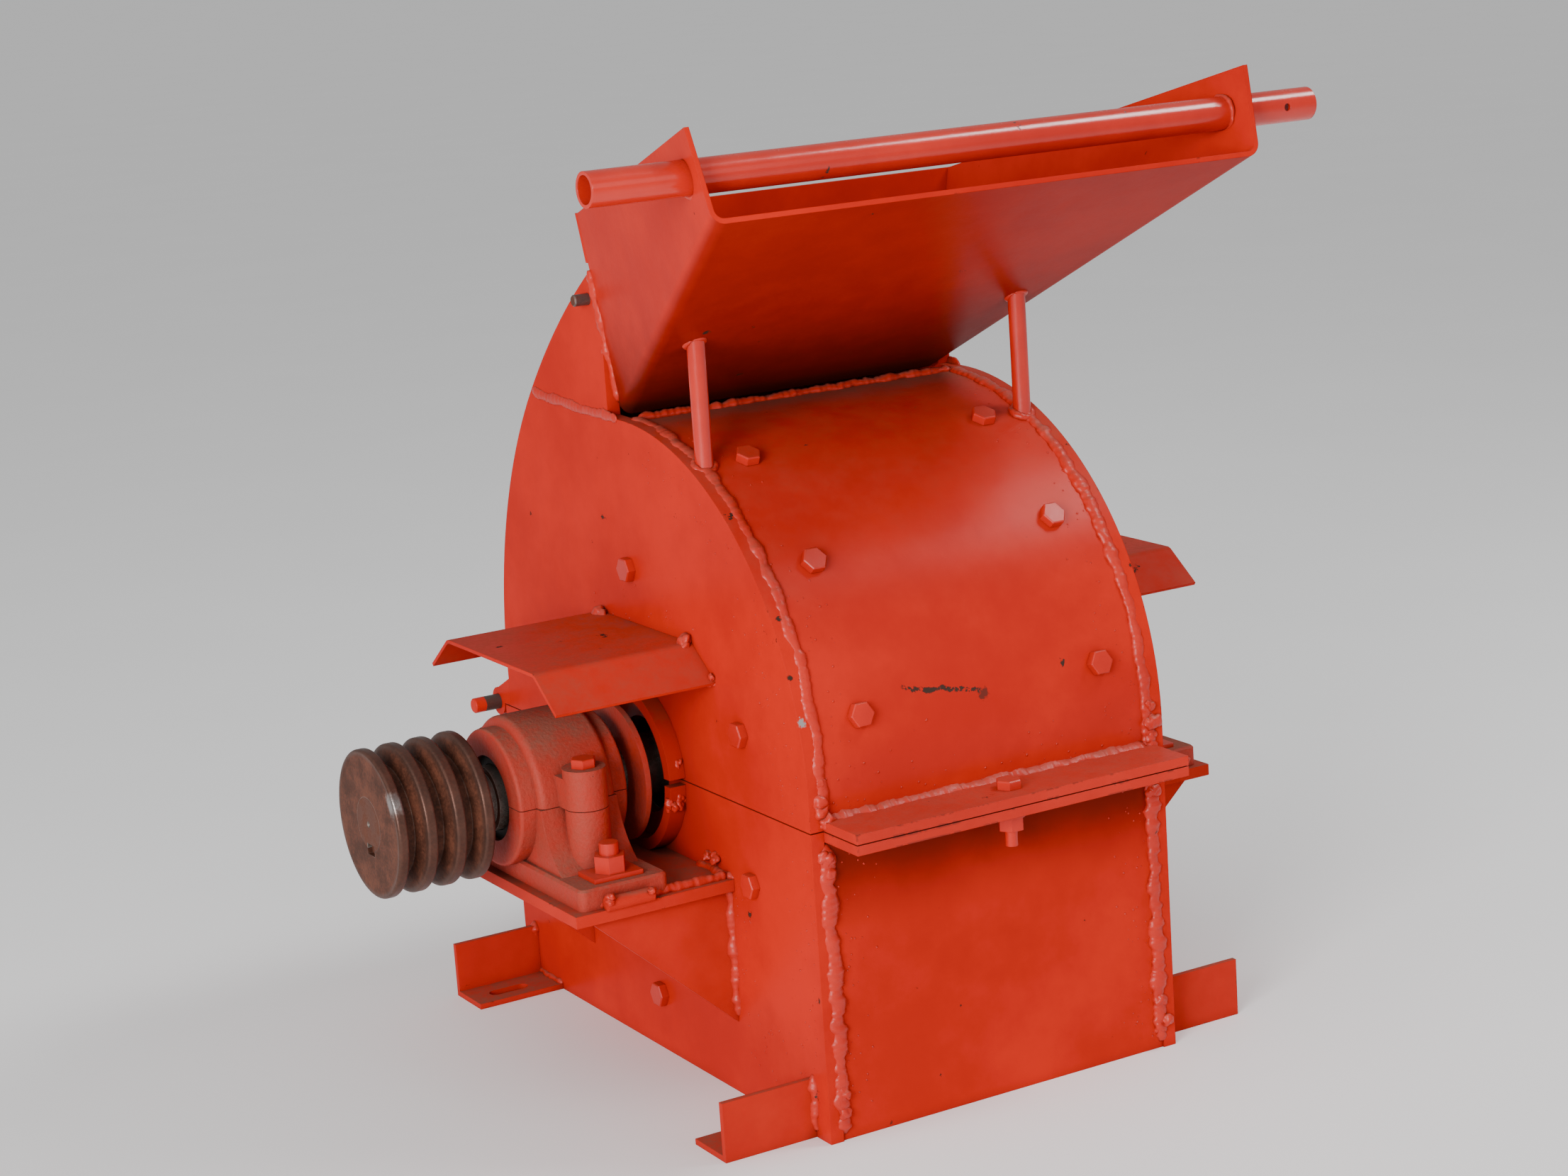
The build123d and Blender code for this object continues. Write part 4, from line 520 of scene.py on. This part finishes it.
# %% Finishes by slot, then by piece
slot_finish = {
    "painted_red": plate_paint,
    "painted_casting": cast_paint,
    "rusty_iron": pulley_iron,
    "bare_steel": shaft_steel,
    "wear_steel": scoured_plate,
    "dark_pin": pin_steel,
    "seal_rubber": seal_black,
}
piece_finish = {
    "upper_flange": flange_paint,
    "lower_flange": flange_paint,
    "flinger_discs": cast_paint,
    "hinge_pin": tipped_pin,
    "bracket_left": dusty_paint,
    "bracket_right": dusty_paint,
    "foot_front_left": dusty_paint,
    "foot_front_right": dusty_paint,
    "foot_rear_left": dusty_paint,
    "foot_rear_right": dusty_paint,
    "front_cover": cover_paint,
    "front_panel": panel_paint,
    "feed_chute": chute_paint,
    "chute_back": chute_paint,
    "cover_bolts": bolt_paint,
    "lower_side_bolts": bolt_paint,
    "bearing_cap_bolts": bolt_paint,
    "bearing_base_bolts": bolt_paint,
    "bearing_base_nuts": bolt_paint,
    "flange_bolt": bolt_paint,
    "flange_nut": bolt_paint,
    "crossbar": pipe_paint,
    "chute_struts": strut_paint,
}
for part in frame["record"]["subparts"]:
    name = part["node"]
    finish = piece_finish.get(name, slot_finish[part["material_slot"]])
    nodes[name].data.materials.clear()
    nodes[name].data.materials.append(finish)

# %% [markdown]
# ## Weld beads
# A hand-laid bead is a row of overlapping puddles: it swells and narrows every few millimetres, wanders
# off the joint and is never round. A swept curve would be too even, and sculpting would be lost on a
# change of size, so a bead is a ring of points carried along the joint, with each ring's size set by a
# ripple and by smooth noise. Its lower half is sunk in the plates.

# %% Bead along a path
BEAD_STEP = 0.0013                           # along the bead
BEAD_RING = 12                               # points round it
PUDDLE = 0.0060                              # length of one puddle
ARC_PIECES = 60


def spaced(path):
    """Points at even steps along a path of corner points."""
    points = []
    for start, end in zip(path, path[1:]):
        count = max(1, round((end - start).length / BEAD_STEP))
        points += [start.lerp(end, n / count) for n in range(count)]
    return points + [path[-1]]


def bead(name, path, outward, body, width=0.0052, height=0.0040, rough=0.32, seed=0):
    """Weld bead along a path. outward gives the direction that it stands up in, at each point."""
    points = spaced(path)
    mesh = bmesh.new()
    rings = []
    for index, point in enumerate(points):
        ahead = points[min(index + 1, len(points) - 1)] - points[max(index - 1, 0)]
        up = outward(point).normalized()
        side = ahead.cross(up).normalized()
        travel = index * BEAD_STEP
        drift = noise.noise(Vector((travel * 60, seed, 0.3)))
        puddle = 0.5 + 0.5 * math.cos(travel / PUDDLE * math.tau + 4.0 * drift)
        swell = 0.82 + 0.09 * puddle + rough * noise.noise(Vector((travel * 85, seed, 7.7)))
        swell += 0.9 * max(0.0, noise.noise(Vector((travel * 38, seed, 4.1))) - 0.28)
        end_fade = min(1.0, (min(index, len(points) - 1 - index) + 0.6) / 5) ** 0.5
        centre = point + side * drift * width * 0.35
        ring = []
        for corner in range(BEAD_RING):
            turn = corner / BEAD_RING * math.tau
            spot = Vector((travel * 190, math.cos(turn) * 0.9 + seed, math.sin(turn) * 0.9))
            swollen = (swell + rough * 0.6 * noise.noise(spot)) * end_fade
            offset = side * math.cos(turn) * width * swollen + up * math.sin(turn) * height * swollen
            ring.append(mesh.verts.new(centre + offset))
        rings.append(ring)
    for near, far in zip(rings, rings[1:]):
        for corner in range(BEAD_RING):
            after = (corner + 1) % BEAD_RING
            mesh.faces.new((near[corner], near[after], far[after], far[corner]))
    mesh.faces.new(rings[0][::-1])
    mesh.faces.new(rings[-1])
    return settle(name, mesh, body, bead_paint)


def settle(name, mesh, body, finish):
    """Turns loose mesh data into a smooth object that rides on a body."""
    bmesh.ops.recalc_face_normals(mesh, faces=mesh.faces)
    data = bpy.data.meshes.new(name)
    mesh.to_mesh(data)
    mesh.free()
    data.shade_smooth()
    data.materials.append(finish)
    piece = bpy.data.objects.new(name, data)
    bpy.context.scene.collection.objects.link(piece)
    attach(piece, body)
    return piece


def arc(x, centre, radius, start, end):
    """Points on an arc in a plane across the shaft; angles from +Y towards +Z."""
    turns = [start + (end - start) * n / ARC_PIECES for n in range(ARC_PIECES + 1)]
    return [Vector((x, centre[0] + radius * math.cos(t), centre[1] + radius * math.sin(t))) for t in turns]


def fixed(*direction):
    """The same outward direction everywhere."""
    return lambda point: Vector(direction)


def from_axis(y, z):
    """Outward direction away from an axis along X."""
    return lambda point: Vector((0, point.y - y, point.z - z))


print("bead maker is ready")

# %% [markdown]
# ## Seams of the housing
# The rolled covers and flat panels stand between the side plates, and a bead runs down each joint. The
# joint sits just inside the side plate's edge. The front seams are the heaviest, because they are seen
# and were filled twice. The names say which joint each bead closes.

# %% Seams between side plates and covers
SEAM_IN = 0.0015                             # bead centre, inwards from the side plate's inner face
REAR_IN = 0.002                              # bead centre, inwards from the rear edge
throat_centre_y = REAR_CENTRE[0] - (THROAT_RADIUS - REAR_RADIUS) * math.cos(SPLICE_TURN)
throat_centre_z = REAR_CENTRE[1] - (THROAT_RADIUS - REAR_RADIUS) * math.sin(SPLICE_TURN)
throat_top = math.acos((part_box("chute_back")[1].y - throat_centre_y) / (THROAT_RADIUS - REAR_IN))
for side, sign in (("left", -1), ("right", 1)):
    x = sign * (INNER_X - SEAM_IN)
    front_arc = [Vector((x, -SHEET_Y, UPPER_Z + 0.001))]
    front_arc += arc(x, (0, ARC_Z), SHEET_Y, math.pi, math.pi / 2 + 0.01)
    bead(f"seam_front_arc_{side}", front_arc, from_axis(0, ARC_Z), "cover", 0.0066, 0.0042, seed=3 + sign)
    lower_front = [Vector((x, -SHEET_Y, 0.006)), Vector((x, -SHEET_Y, LOWER_Z - 0.010))]
    bead(f"seam_front_panel_{side}", lower_front, fixed(0, -1, 0), "base", 0.0078, 0.0052, 0.44, 11 + sign)
    lower_rear = [Vector((x, SHEET_Y, 0.006)), Vector((x, SHEET_Y, LOWER_Z - 0.010))]
    bead(f"seam_rear_panel_{side}", lower_rear, fixed(0, 1, 0), "base", 0.0058, 0.0042, 0.34, 21 + sign)
    rear_arc = [Vector((x, REAR_Y - REAR_IN, UPPER_Z + 0.003))]
    rear_arc += arc(x, REAR_CENTRE, REAR_RADIUS - REAR_IN, 0.0, SPLICE_TURN)
    throat_centre = (throat_centre_y, throat_centre_z)
    rear_arc += arc(x, throat_centre, THROAT_RADIUS - REAR_IN, SPLICE_TURN, throat_top)[1:]
    bead(f"seam_rear_arc_{side}", rear_arc, from_axis(*REAR_CENTRE), "cover", 0.0050, 0.0036, seed=31 + sign)
    face = sign * OUTER_X
    splice = [Vector((face, SPLICE_Y - 0.004, SPLICE_Z)), Vector((face, 0.002, CHUTE_FOOT_Z))]
    bead(f"seam_splice_{side}", splice, fixed(sign, 0, 0), "cover", 0.0050, 0.0022, 0.24, 41 + sign)

# %% [markdown]
# ## Flanges, chute and brackets
# These joints are short and easy to reach, so their beads are thick and uneven. The bead behind the upper
# flange is low, with dust caught in it. Round bars get a ring of weld at each end.

# %% Flange, chute foot and wing seams
upper_flange_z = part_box("upper_flange")[1].z
flange_x = INNER_X - 0.006


def side_to_side(half_length, y, z):
    """Straight joint from side to side of the machine."""
    return [Vector((-half_length, y, z)), Vector((half_length, y, z))]


bead("seam_upper_flange", side_to_side(flange_x, -SHEET_Y, upper_flange_z),
     fixed(0, -1, 1.6), "cover", 0.0094, 0.0042, 0.40, 51)
lower_flange_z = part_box("lower_flange")[0].z
bead("seam_lower_flange", side_to_side(flange_x, -SHEET_Y, lower_flange_z),
     fixed(0, -1, -1), "base", 0.0040, 0.0034, 0.30, 52)
bead("seam_chute_foot", side_to_side(INNER_X - 0.004, -0.006, CHUTE_FOOT_Z - 0.001),
     fixed(0, -1, 0.8), "cover", 0.0050, 0.0044, 0.42, 53)


def strike(node, start, direction):
    """Where a straight line first meets a CAD node, and the surface's normal there."""
    met, at, normal, _ = nodes[node].ray_cast(Vector(start), Vector(direction).normalized())
    if not met:
        raise RuntimeError(f"nothing of {node} lies that way from {start}")
    return at, normal


throat_top_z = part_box("throat_plates")[1].z
back_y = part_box("feed_chute")[1].y
WING_SPOTS = 9
BESIDE = 0.5                                 # a place well outside the machine, to look in from
for side, sign in (("left", -1), ("right", 1)):
    seam = []
    for rise in range(WING_SPOTS):
        z = CHUTE_FOOT_Z + 0.012 + (throat_top_z - CHUTE_FOOT_Z - 0.018) * rise / (WING_SPOTS - 1)
        at, _ = strike("feed_chute", (sign * BESIDE, back_y - 0.002, z), (-sign, 0, 0))
        seam.append(Vector((at.x, back_y, z)))
    bead(f"seam_wing_{side}", seam, fixed(sign, -0.3, 0), "cover", 0.0046, 0.0036, 0.40, 61 + sign)

# %% Rings round the struts and the crossbar
RING_POINTS = 26


def ring_path(centre, normal, radius):
    """Closed ring of points about a normal."""
    first = normal.orthogonal().normalized()
    second = normal.cross(first)
    turns = [n / RING_POINTS * math.tau for n in range(RING_POINTS + 1)]
    return [centre + (first * math.cos(t) + second * math.sin(t)) * radius for t in turns]


def ring_bead(name, centre, normal, radius, body, width, seed):
    """Weld round a bar where it meets a plate."""
    centre = Vector(centre)
    along = Vector(normal).normalized()
    path = ring_path(centre, along, radius)
    return bead(name, path, lambda p: along + (p - centre) * 20, body, width, width * 0.9, 0.40, seed)


strut_low, strut_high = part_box("chute_struts")
strut_y = (strut_low.y + strut_high.y) / 2
strut_r = (strut_high.y - strut_low.y) / 2
strut_x = strut_high.x - strut_r
bar_low, bar_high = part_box("crossbar")
bar_y = (bar_low.y + bar_high.y) / 2
bar_z = (bar_low.z + bar_high.z) / 2
bar_r = (bar_high.z - bar_low.z) / 2
for side, sign in (("left", -1), ("right", 1)):
    foot, foot_normal = strike("front_cover", (sign * (strut_x - 0.002), strut_y, 0.58), (0, 0, -1))
    ring_bead(f"weld_strut_foot_{side}", (sign * strut_x, foot.y, foot.z + 0.001), foot_normal,
              strut_r + 0.001, "cover", 0.0040, 71 + sign)
    top, top_normal = strike("feed_chute", (sign * 0.100, strut_y, 0.50), (0, 0, 1))
    ring_bead(f"weld_strut_top_{side}", (sign * strut_x, top.y, top.z), top_normal,
              strut_r + 0.0005, "cover", 0.0030, 75 + sign)
    wing, _ = strike("feed_chute", (sign * BESIDE, bar_y + bar_r + 0.004, bar_z), (-sign, 0, 0))
    ring_bead(f"weld_crossbar_{side}", (wing.x, bar_y, bar_z), (sign, 0, 0),
              bar_r + 0.0005, "cover", 0.0026, 81 + sign)

# %% Bearing brackets, feet and rail
bracket_low, bracket_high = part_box("bracket_left")
GUSSET_Y = 0.1345
BRACKET_THICK = 0.010
SHELF_FROM, SHELF_TO = 0.082, 0.143          # the part of the shelf's joint that the bearing leaves open
FOOT_TOP = 0.006                             # top of the foot's flat leg
under_z = bracket_high.z - BRACKET_THICK
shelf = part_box("bearing_base_left")[0].z
for side, sign in (("left", -1), ("right", 1)):
    x = sign * OUTER_X
    tip = sign * (-bracket_low.x - 0.022)
    for end, front in (("front", -1), ("rear", 1)):
        gusset = front * GUSSET_Y
        joint = [Vector((x, gusset, under_z)), Vector((x, gusset, bracket_low.z + 0.006))]
        bead(f"seam_gusset_{side}_{end}", joint, fixed(sign, front, 0), "base",
             0.0058, 0.0046, 0.40, 91 + sign + front)
        joint = [Vector((x, gusset, under_z)), Vector((tip, gusset, under_z))]
        bead(f"seam_shelf_{side}_{end}", joint, fixed(0, front, -0.4), "base",
             0.0058, 0.0050, 0.42, 101 + sign + front)
        joint = [Vector((x, front * SHELF_FROM, shelf)), Vector((x, front * SHELF_TO, shelf))]
        bead(f"seam_shelf_end_{side}_{end}", joint, fixed(sign, 0, 1), "base",
             0.0048, 0.0044, 0.45, 111 + sign + front)
        foot_low, foot_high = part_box(f"foot_{end}_{side}")
        outer_y = foot_low.y if front < 0 else foot_high.y
        joint = [Vector((x, outer_y, FOOT_TOP)), Vector((x, outer_y, foot_high.z + 0.003))]
        bead(f"seam_foot_{side}_{end}", joint, fixed(sign, front, 0), "base",
             0.0062, 0.0052, 0.50, 121 + sign + front)
        inner_y = foot_high.y if front < 0 else foot_low.y
        joint = [Vector((x, outer_y, FOOT_TOP)), Vector((x, inner_y, FOOT_TOP))]
        bead(f"seam_foot_flat_{side}_{end}", joint, fixed(sign, 0, 1.6), "base",
             0.0038, 0.0034, 0.45, 131 + sign + front)

# %% [markdown]
# ## Tacks and spatter
# The guards and collars are held by single blobs of weld, and more blobs thicken the ends of the front
# seams and the bracket shelves. Around every seam, drops of molten steel have frozen to the plate and were
# painted over. Both kinds are rounded lumps bent out of shape by noise. They are gathered into one object
# for each half, so they stay cheap.

# %% Lumps
LUMPS_IN_TACK = 3
TACK_DETAIL, DROP_DETAIL = 3, 1              # how finely each kind of lump is divided


def lump(mesh, at, normal, radius, flat, detail, seed):
    """Adds one misshapen drop of metal that sits on a surface."""
    made = bmesh.ops.create_icosphere(mesh, subdivisions=detail, radius=1.0)["verts"]
    turn = Vector(normal).to_track_quat("Z", "Y").to_matrix()
    for vert in made:
        rough = 1.0 + 0.45 * noise.noise(vert.co * 1.3 + Vector((seed * 1.7, seed, 0)))
        local = Vector((vert.co.x, vert.co.y, vert.co.z * flat)) * radius * rough
        vert.co = Vector(at) + turn @ local


def tacks(name, spots, body):
    """Blobs of weld, each a small cluster of lumps."""
    rng = random.Random(name)
    mesh = bmesh.new()
    for at, normal, radius in spots:
        for _ in range(LUMPS_IN_TACK):
            shift = Vector([rng.uniform(-0.6, 0.6) * radius for _ in range(3)])
            size = radius * rng.uniform(0.65, 1.0)
            lump(mesh, Vector(at) + shift, normal, size, 0.75, TACK_DETAIL, rng.uniform(0, 50))
    return settle(name, mesh, body, bead_paint)


guard_low, guard_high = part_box("guard_left")
guard_mid = (guard_low.y + guard_high.y) / 2
collar_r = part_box("upper_collars")[1].y - 0.005
upper_spots = []
lower_spots = []
for sign in (-1, 1):
    face = sign * OUTER_X
    for y in (guard_mid - 0.076, guard_mid + 0.070):
        upper_spots.append(((face + sign * 0.003, y, guard_high.z), (sign, 0, 1), 0.0068))
    for y in (guard_low.y + 0.006, guard_high.y - 0.006):
        upper_spots.append(((face + sign * 0.002, y, guard_low.z + 0.004), (sign, 0, 0), 0.0050))
    for y in (-collar_r, collar_r):
        upper_spots.append(((face + sign * 0.004, y, SHAFT_Z + 0.014), (sign, 0, 0), 0.0058))
        lower_spots.append(((face + sign * 0.004, y, SHAFT_Z - 0.016), (sign, 0, 0), 0.0064))
        lower_spots.append(((face + sign * 0.012, y, SHAFT_Z - 0.020), (sign, 0, 0), 0.0050))
    upper_spots.append(((face + sign * 0.004, 0.0, SHAFT_Z + collar_r), (sign, 0, 1), 0.0058))
    for y in (bracket_low.y, bracket_high.y):
        for x in (0.248, 0.286):
            lower_spots.append(((sign * x, y, bracket_high.z - 0.001), (0, 0, 1), 0.0044))
for sign in (-1, 1):
    joint_x = sign * (INNER_X - 0.001)
    for rise, radius in ((0.006, 0.0074), (0.015, 0.0060), (0.027, 0.0066), (0.040, 0.0046)):
        upper_spots.append(((joint_x, -SHEET_Y, UPPER_Z + rise), (0, -1, 0), radius))
    for drop, radius in ((0.020, 0.0070), (0.034, 0.0056), (0.215, 0.0060), (0.234, 0.0072)):
        lower_spots.append(((joint_x, -SHEET_Y, LOWER_Z - drop), (0, -1, 0), radius))
    for y, radius in ((-0.104, 0.0040), (-0.118, 0.0050), (0.108, 0.0046), (0.124, 0.0040)):
        lower_spots.append(((sign * (OUTER_X + 0.004), y, bracket_high.z + 0.002), (sign, 0, 1), radius))
tacks("tacks_upper", upper_spots, "cover")
tacks("tacks_lower", lower_spots, "base")
print("tacked spots:", len(upper_spots) + len(lower_spots))

# %% Spatter beside the seams
SPATTER_SPREAD = 0.016                       # how far from the seam most drops land
DROP_SMALL, DROP_LARGE = 0.0004, 0.0012


def spatter(name, fields, body):
    """Frozen drops beside seams. A field is a node, a start, an end, a look direction and a count."""
    rng = random.Random(name)
    mesh = bmesh.new()
    landed = 0
    for node, start, end, look, count in fields:
        start, end, look = Vector(start), Vector(end), Vector(look).normalized()
        across = (end - start).cross(look).normalized()
        for _ in range(count):
            spread = rng.gauss(0, 1) * SPATTER_SPREAD
            spot = start.lerp(end, rng.random()) + across * spread - look * 0.1
            met, at, normal, _ = nodes[node].ray_cast(spot, look)
            radius = rng.uniform(DROP_SMALL, DROP_LARGE)
            if met:
                lump(mesh, at, normal, radius, 0.7, DROP_DETAIL, rng.uniform(0, 50))
                landed += 1
    print(name, "has", landed, "drops")
    return settle(name, mesh, body, bead_paint)


base_fields = []
cover_fields = []
for side, sign in (("left", -1), ("right", 1)):
    x = sign * OUTER_X
    low_plate = f"side_plate_lower_{side}"
    high_plate = f"side_plate_upper_{side}"
    panel_x = sign * (INNER_X - 0.014)
    base_fields.append(("front_panel", (panel_x, -SHEET_Y, 0.01), (panel_x, -SHEET_Y, 0.24), (0, 1, 0), 70))
    base_fields.append(("rear_panel", (panel_x, SHEET_Y, 0.01), (panel_x, SHEET_Y, 0.24), (0, -1, 0), 40))
    base_fields.append((low_plate, (x, -0.262, 0.03), (x, -0.262, 0.24), (-sign, 0, 0), 60))
    base_fields.append((low_plate, (x, -0.150, 0.06), (x, -0.150, 0.19), (-sign, 0, 0), 45))
    base_fields.append((low_plate, (x, -0.240, 0.06), (x, -0.150, 0.06), (-sign, 0, 0), 30))
    cover_fields.append((high_plate, (x, -0.255, 0.27), (x, -0.190, 0.44), (-sign, 0, 0), 60))
    cover_fields.append((high_plate, (x, -0.180, 0.46), (x, -0.040, 0.53), (-sign, 0, 0), 45))
    cover_fields.append((high_plate, (x, -0.110, 0.385), (x, 0.075, 0.385), (-sign, 0, 0), 40))
    cover_fields.append(("front_cover", (panel_x, -0.24, 0.9), (panel_x, -0.02, 0.9), (0, 0, -1), 45))
    cover_fields.append(("front_cover", (panel_x, -0.9, 0.27), (panel_x, -0.9, 0.46), (0, 1, 0), 45))
cover_fields.append(("front_cover", (-0.15, -0.9, 0.285), (0.15, -0.9, 0.285), (0, 1, 0), 70))
spatter("spatter_lower", base_fields, "base")
spatter("spatter_upper", cover_fields, "cover")

# %% [markdown]
# ## Floor finish
# The floor is only a stage, so it stays plain: pale, matt, with a faint mottling that keeps the contact
# shadows from looking cut out.

# %% Floor finish
stage = Finish("stage_floor")
stage_cloud = stage.grain(3.0, 3.0)
stage.wear(stage.blend(stage_cloud, (0.88, 0.88, 0.88), (0.92, 0.92, 0.92)), 0.85)
floor_mesh.materials.append(stage.material)
print("floor is", FLOOR_SIZE, "m wide")
